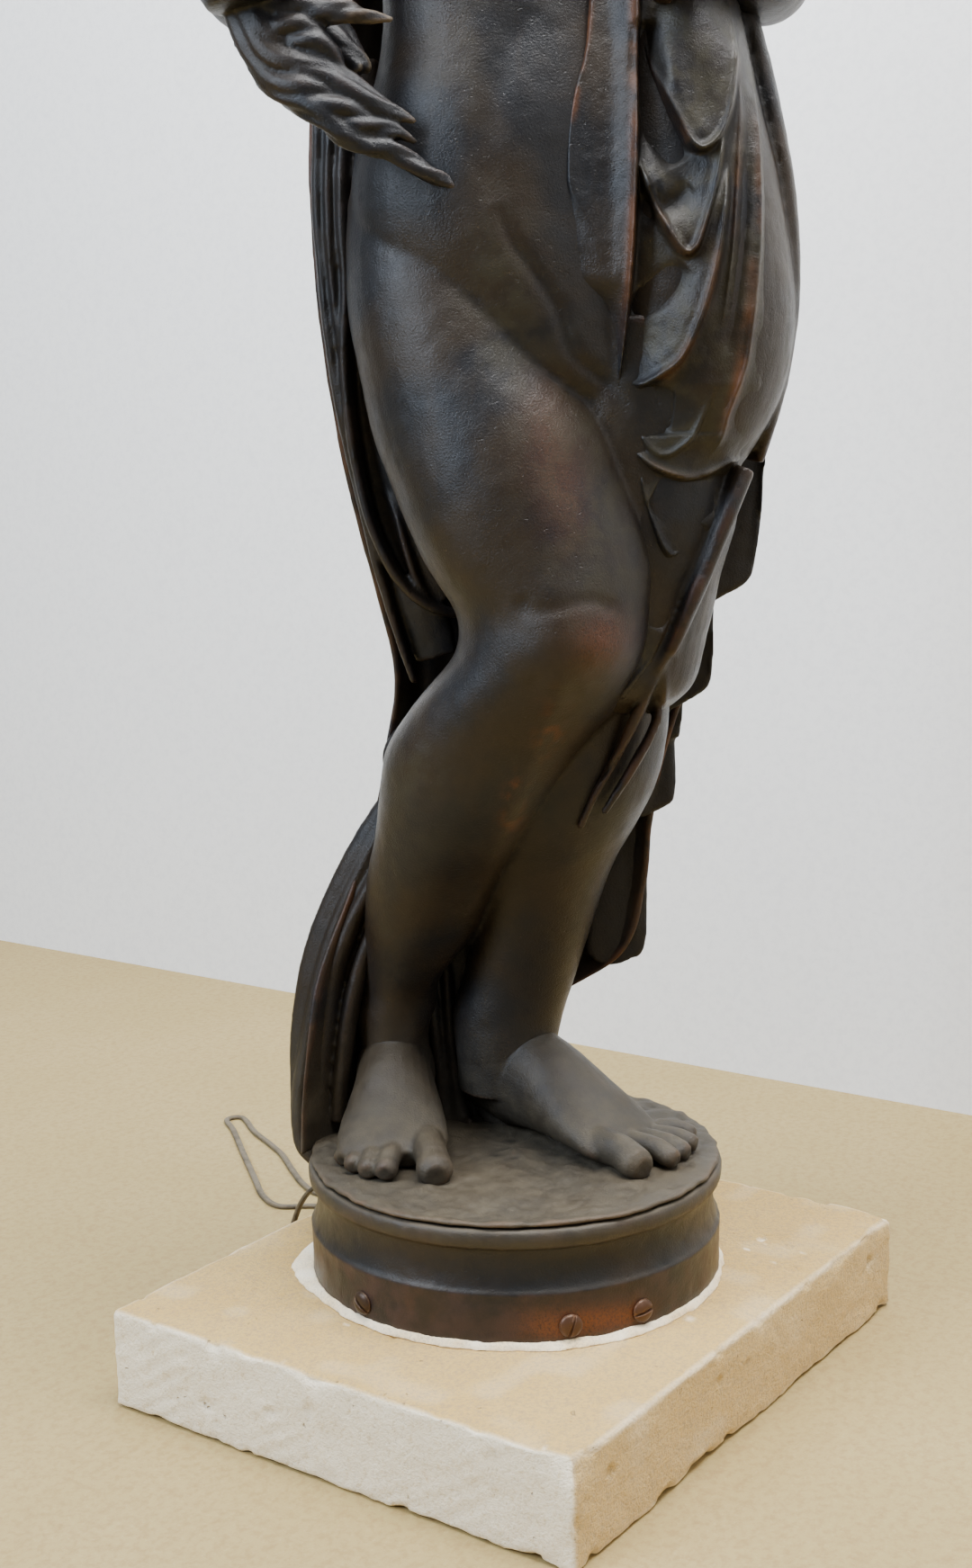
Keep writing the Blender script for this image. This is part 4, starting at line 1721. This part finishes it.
def lead_plug():
    """White moulded two-pin plug that lies on the floor."""
    stations = [
        [-1, 5, 4.2], [0, 6.2, 5.2], [4, 7.6, 5.8], [9, 11, 6.4], [16, 16.6, 6.8], [20, 17.2, 6.9],
        [30, 14.8, 6.8], [36, 12.8, 6.7], [37, 12.2, 6.2],
    ]
    rows = between(stations, np.linspace(0, 1, 50))
    angle = round_angles(48)[None]
    c, s = np.cos(angle), np.sin(angle)
    x = rows[:, 1:2] * np.sign(c) * np.abs(c) ** 0.6
    z = rows[:, 2:3] * np.sign(s) * np.abs(s) ** 0.5 + 7.0
    grip = (
        0.5 * np.sin(rows[:, :1] * 1.6) * ramp(rows[:, :1], 8, 11) * (1 - ramp(rows[:, :1], 22, 25))
        * np.abs(c) ** 3
    )
    shells = [skin(np.stack([x + grip * np.sign(c), rows[:, :1] + 0 * c, z], -1))]
    for side in (-1, 1):
        points, faces = lathe([[0.2, 34], [2, 34.2], [2, 47], [2, 54], [1.5, 55.6], [0.2, 56]], 20)
        shells.append((np.column_stack([-points[:, 0] + side * 9.3, points[:, 2], points[:, 1] + 7]), faces))
    points, faces = gather(shells)
    pins = (points[:, 1] > 37.6).astype(float)
    x, y = turned(points[:, 0] + PLUG_PLACE[0], points[:, 1] + PLUG_PLACE[1], FIGURE_TURN)
    mesh = new_mesh("lead_plug", np.column_stack([x, y, points[:, 2]]) * MM, faces)
    keep_layer(mesh, "pins", pins)
    finish = plastic_finish("white plug plastic", (0.78, 0.77, 0.73), (0.6, 0.57, 0.5), 0.35, 0.15)
    w = Wiring(finish.node_tree)
    shader = next(node for node in finish.node_tree.nodes if node.type == "BSDF_PRINCIPLED")
    metal = w.layer("pins")
    base = shader.inputs["Base Color"].links[0].from_socket
    w.feed(shader, Metallic=metal, Base_Color=w.mix(metal, base, (0.55, 0.5, 0.4, 1)))
    return add_object("lead_plug", mesh, finish, "plug")


# Stage


def place_camera():
    """Camera at the photograph's angle, fitted to the ring and the slab."""
    yaw, pitch, roll = -0.012, 0.162, -0.017
    turn = np.array([[math.cos(yaw), -math.sin(yaw), 0], [math.sin(yaw), math.cos(yaw), 0], [0, 0, 1]])
    tilt = np.array([
        [1, 0, 0], [0, math.cos(pitch), -math.sin(pitch)], [0, math.sin(pitch), math.cos(pitch)]
    ])
    right, ahead, up = tilt @ turn
    right, up = math.cos(roll) * right + math.sin(roll) * up, math.cos(roll) * up - math.sin(roll) * right
    lens = bpy.data.cameras.new("photo_camera")
    lens.sensor_width = SENSOR
    lens.lens = SENSOR * FOCAL_PIXELS / PHOTO_HEIGHT
    camera = bpy.data.objects.new("photo_camera", lens)
    bpy.context.scene.collection.objects.link(camera)
    own = Matrix(np.column_stack([right, up, -ahead]).tolist()).to_4x4()
    own.translation = Vector(EYE * MM) + Vector((0, 0, SOLES))
    camera.matrix_world = Matrix.Rotation(FIGURE_TURN, 4, "Z") @ own
    bpy.context.scene.camera = camera


def stage_finish(name, base, pale, stain, scale, bump):
    inputs = {"Base": (*base, 1), "Pale": (*pale, 1), "Stain": (*stain, 1), "Scale": scale}
    return finish_of(name, shared("stone"), inputs, 0.0, bump, 0.0005, rough=0.7)


def stage_sheet(name, points, finish):
    mesh = bpy.data.meshes.new(name)
    mesh.from_pydata(points, [], [[0, 1, 2, 3]])
    mesh.materials.append(finish)
    sheet = bpy.data.objects.new(name, mesh)
    bpy.context.scene.collection.objects.link(sheet)
    return sheet


def add_light(name, place, target, size, power, colour):
    lamp = bpy.data.lights.new(name, "AREA")
    lamp.shape, lamp.size, lamp.size_y = "RECTANGLE", size[0], size[1]
    lamp.energy, lamp.color = power, colour
    light = bpy.data.objects.new(name, lamp)
    bpy.context.scene.collection.objects.link(light)
    spin = Matrix.Rotation(FIGURE_TURN, 4, "Z")
    light.location = spin @ Vector(place)
    light.rotation_euler = (spin @ Vector(target) - light.location).to_track_quat("-Z", "Y").to_euler()


def build_stage():
    """Beige floor, white wall behind and soft light from both sides and above."""
    sizes = bpy.context.scene.cupid_stage
    spin = Matrix.Rotation(FIGURE_TURN, 4, "Z")
    floor = stage_finish("beige floor", sizes.floor_colour, (0.5, 0.39, 0.21), (0.3, 0.2, 0.08), 0.4, 0.1)
    wall = stage_finish("white wall", sizes.wall_colour, (0.84, 0.85, 0.87), (0.78, 0.79, 0.81), 0.3, 0.1)
    start, end = Vector((-0.802, 1.456, 0)), Vector((0.509, 0.569, 0))
    along = (end - start).normalized()
    far_left, far_right = start - along * 4, end + along * 4
    near = Vector((along.y, -along.x, 0)) * 6
    points = [far_left, far_right, far_right + near, far_left + near]
    stage_sheet("floor", [tuple(spin @ p) for p in points], floor)
    high = Vector((0, 0, 3.4))
    stage_sheet(
        "wall", [tuple(spin @ p) for p in (far_left, far_right, far_right + high, far_left + high)], wall
    )
    target = (0, 0, 0.6)
    add_light("window_left", (-2.2, -1.2, 2.0), target, (1.1, 1.7), 115 * sizes.light, (0.72, 0.84, 1.0))
    add_light("fill_right", (1.9, -1.9, 1.4), target, (0.8, 1.2), 17 * sizes.light, (1.0, 0.96, 0.9))
    add_light("soft_top", (0.3, -0.6, 2.9), target, (1.8, 1.8), 58 * sizes.light, (1.0, 0.99, 0.97))
    add_light("wall_wash", (0.3, -0.3, 3.0), (0.2, 1.6, 0.7), (2.4, 0.8), 170 * sizes.light, (1.0, 1.0, 1.0))
    world = bpy.context.scene.world or bpy.data.worlds.new("pale room")
    bpy.context.scene.world = world
    world.use_nodes = True
    world.node_tree.nodes.clear()
    w = Wiring(world.node_tree)
    glow = w.feed(w.add("ShaderNodeBackground"), Color=(0.86, 0.89, 0.94, 1), Strength=0.3 * sizes.light)
    w.feed(w.add("ShaderNodeOutputWorld"), Surface=glow.outputs[0])


# Settings, operators and panel


class CupidFigureSettings(bpy.types.PropertyGroup):
    patina_dark: bpy.props.FloatVectorProperty(
        name="Dark patina", description="Main colour of the figure's iron", subtype="COLOR",
        default=(0.0085, 0.0088, 0.011), min=0, max=1,
    )
    patina_brown: bpy.props.FloatVectorProperty(
        name="Brown patina", description="Colour of the warmer patches of the figure's iron", subtype="COLOR",
        default=(0.021, 0.0145, 0.0095), min=0, max=1,
    )


class CupidBlockSettings(bpy.types.PropertyGroup):
    stone_colour: bpy.props.FloatVectorProperty(
        name="Stone", description="Main colour of the stone slab", subtype="COLOR",
        default=(0.56, 0.37, 0.12), min=0, max=1,
    )


class CupidCordSettings(bpy.types.PropertyGroup):
    flex_colour: bpy.props.FloatVectorProperty(
        name="Flex", description="Colour of the sheath of the flat flex", subtype="COLOR",
        default=(0.12, 0.095, 0.06), min=0, max=1,
    )


class CupidStageSettings(bpy.types.PropertyGroup):
    floor_colour: bpy.props.FloatVectorProperty(
        name="Floor", description="Colour of the floor", subtype="COLOR", default=(0.37, 0.28, 0.115),
        min=0, max=1,
    )
    wall_colour: bpy.props.FloatVectorProperty(
        name="Wall", description="Colour of the wall behind", subtype="COLOR", default=(0.86, 0.87, 0.88),
        min=0, max=1,
    )
    light: bpy.props.FloatProperty(
        name="Light", description="Strength of all the lights together", subtype="FACTOR", default=1.0,
        min=0, max=5,
    )


class CUPID_OT_camera(bpy.types.Operator):
    """Place the camera at the photograph's angle"""

    bl_idname = "cupid.camera"
    bl_label = "Camera"

    def execute(self, context):
        place_camera()
        return {"FINISHED"}


class CUPID_OT_cord(bpy.types.Operator):
    """Make the flex with its sleeve and its plug"""

    bl_idname = "cupid.cord"
    bl_label = "Flex, sleeve and plug"

    def execute(self, context):
        cord_set()
        return {"FINISHED"}


class CUPID_OT_block(bpy.types.Operator):
    """Make the rough stone block"""

    bl_idname = "cupid.block"
    bl_label = "Stone block"

    def execute(self, context):
        stone_block()
        return {"FINISHED"}


class CUPID_OT_mortar(bpy.types.Operator):
    """Make the mortar between the ring and the stone"""

    bl_idname = "cupid.mortar"
    bl_label = "Mortar bed"

    def execute(self, context):
        mortar_bed()
        return {"FINISHED"}


class CUPID_OT_ring(bpy.types.Operator):
    """Make the moulded ring"""

    bl_idname = "cupid.ring"
    bl_label = "Moulded ring"

    def execute(self, context):
        ring_moulding()
        return {"FINISHED"}


class CUPID_OT_screws(bpy.types.Operator):
    """Make the five slotted screw heads"""

    bl_idname = "cupid.screws"
    bl_label = "Screw heads"

    def execute(self, context):
        for k, (angle, turn) in enumerate(zip(SCREW_ANGLES, SCREW_TURNS), 1):
            screw_head(k, angle, turn)
        return {"FINISHED"}


class CUPID_OT_body(bpy.types.Operator):
    """Make the bare body with its legs, arms and feet"""

    bl_idname = "cupid.body"
    bl_label = "Body and feet"

    def execute(self, context):
        draped_body(iron_finish())
        bare_feet(iron_finish())
        return {"FINISHED"}


class CUPID_OT_drapery(bpy.types.Operator):
    """Make the cloth over the hip with its hanging folds"""

    bl_idname = "cupid.drapery"
    bl_label = "Hip drapery"

    def execute(self, context):
        hip_cloth(iron_finish())
        hip_folds(iron_finish())
        return {"FINISHED"}


class CUPID_OT_cloak(bpy.types.Operator):
    """Make the long cloak behind"""

    bl_idname = "cupid.cloak"
    bl_label = "Cloak"

    def execute(self, context):
        back_cloak(iron_finish())
        cloak_folds(iron_finish())
        return {"FINISHED"}


class CUPID_OT_head(bpy.types.Operator):
    """Make the head with its curls"""

    bl_idname = "cupid.head"
    bl_label = "Head and hair"

    def execute(self, context):
        head_and_hair(iron_finish())
        return {"FINISHED"}


class CUPID_OT_wings(bpy.types.Operator):
    """Make the two feathered wings"""

    bl_idname = "cupid.wings"
    bl_label = "Wings"

    def execute(self, context):
        spread_wings(iron_finish())
        return {"FINISHED"}


class CUPID_OT_torch(bpy.types.Operator):
    """Make the lowered torch, its flame and the hands"""

    bl_idname = "cupid.torch"
    bl_label = "Torch, flame and hands"

    def execute(self, context):
        torch_and_hands(iron_finish())
        return {"FINISHED"}


class CUPID_OT_ground(bpy.types.Operator):
    """Make the rough patch of ground under the feet"""

    bl_idname = "cupid.ground"
    bl_label = "Ground"

    def execute(self, context):
        ground_patch(iron_finish())
        return {"FINISHED"}


class CUPID_OT_stage(bpy.types.Operator):
    """Make the floor, the wall and the lights"""

    bl_idname = "cupid.stage"
    bl_label = "Stage and light"

    def execute(self, context):
        build_stage()
        return {"FINISHED"}


OPERATORS = (
    CUPID_OT_camera, CUPID_OT_cord, CUPID_OT_block, CUPID_OT_mortar, CUPID_OT_ring, CUPID_OT_screws,
    CUPID_OT_body, CUPID_OT_drapery, CUPID_OT_cloak, CUPID_OT_head, CUPID_OT_wings, CUPID_OT_torch,
    CUPID_OT_ground, CUPID_OT_stage,
)
SETTINGS = {
    "cupid_figure": CupidFigureSettings,
    "cupid_block": CupidBlockSettings,
    "cupid_cord": CupidCordSettings,
    "cupid_stage": CupidStageSettings,
}


class CUPID_PT_panel(bpy.types.Panel):
    """Lists the settings and the steps of the statue"""

    bl_idname = "CUPID_PT_panel"
    bl_label = "Cast iron cupid"
    bl_space_type = "VIEW_3D"
    bl_region_type = "UI"
    bl_category = "Cupid"

    def draw(self, context):
        for name, kind in SETTINGS.items():
            for label in kind.__annotations__:
                self.layout.prop(getattr(context.scene, name), label)
        for operator in OPERATORS:
            self.layout.operator(operator.bl_idname)


def register():
    for name, kind in SETTINGS.items():
        bpy.utils.register_class(kind)
        setattr(bpy.types.Scene, name, bpy.props.PointerProperty(type=kind))
    for kind in (*OPERATORS, CUPID_PT_panel):
        bpy.utils.register_class(kind)


def unregister():
    for kind in (CUPID_PT_panel, *reversed(OPERATORS)):
        bpy.utils.unregister_class(kind)
    for name, kind in SETTINGS.items():
        delattr(bpy.types.Scene, name)
        bpy.utils.unregister_class(kind)


def main():
    register()
    for operator in OPERATORS:
        group, step = operator.bl_idname.split(".")
        getattr(getattr(bpy.ops, group), step)()


if __name__ == "__main__":
    main()
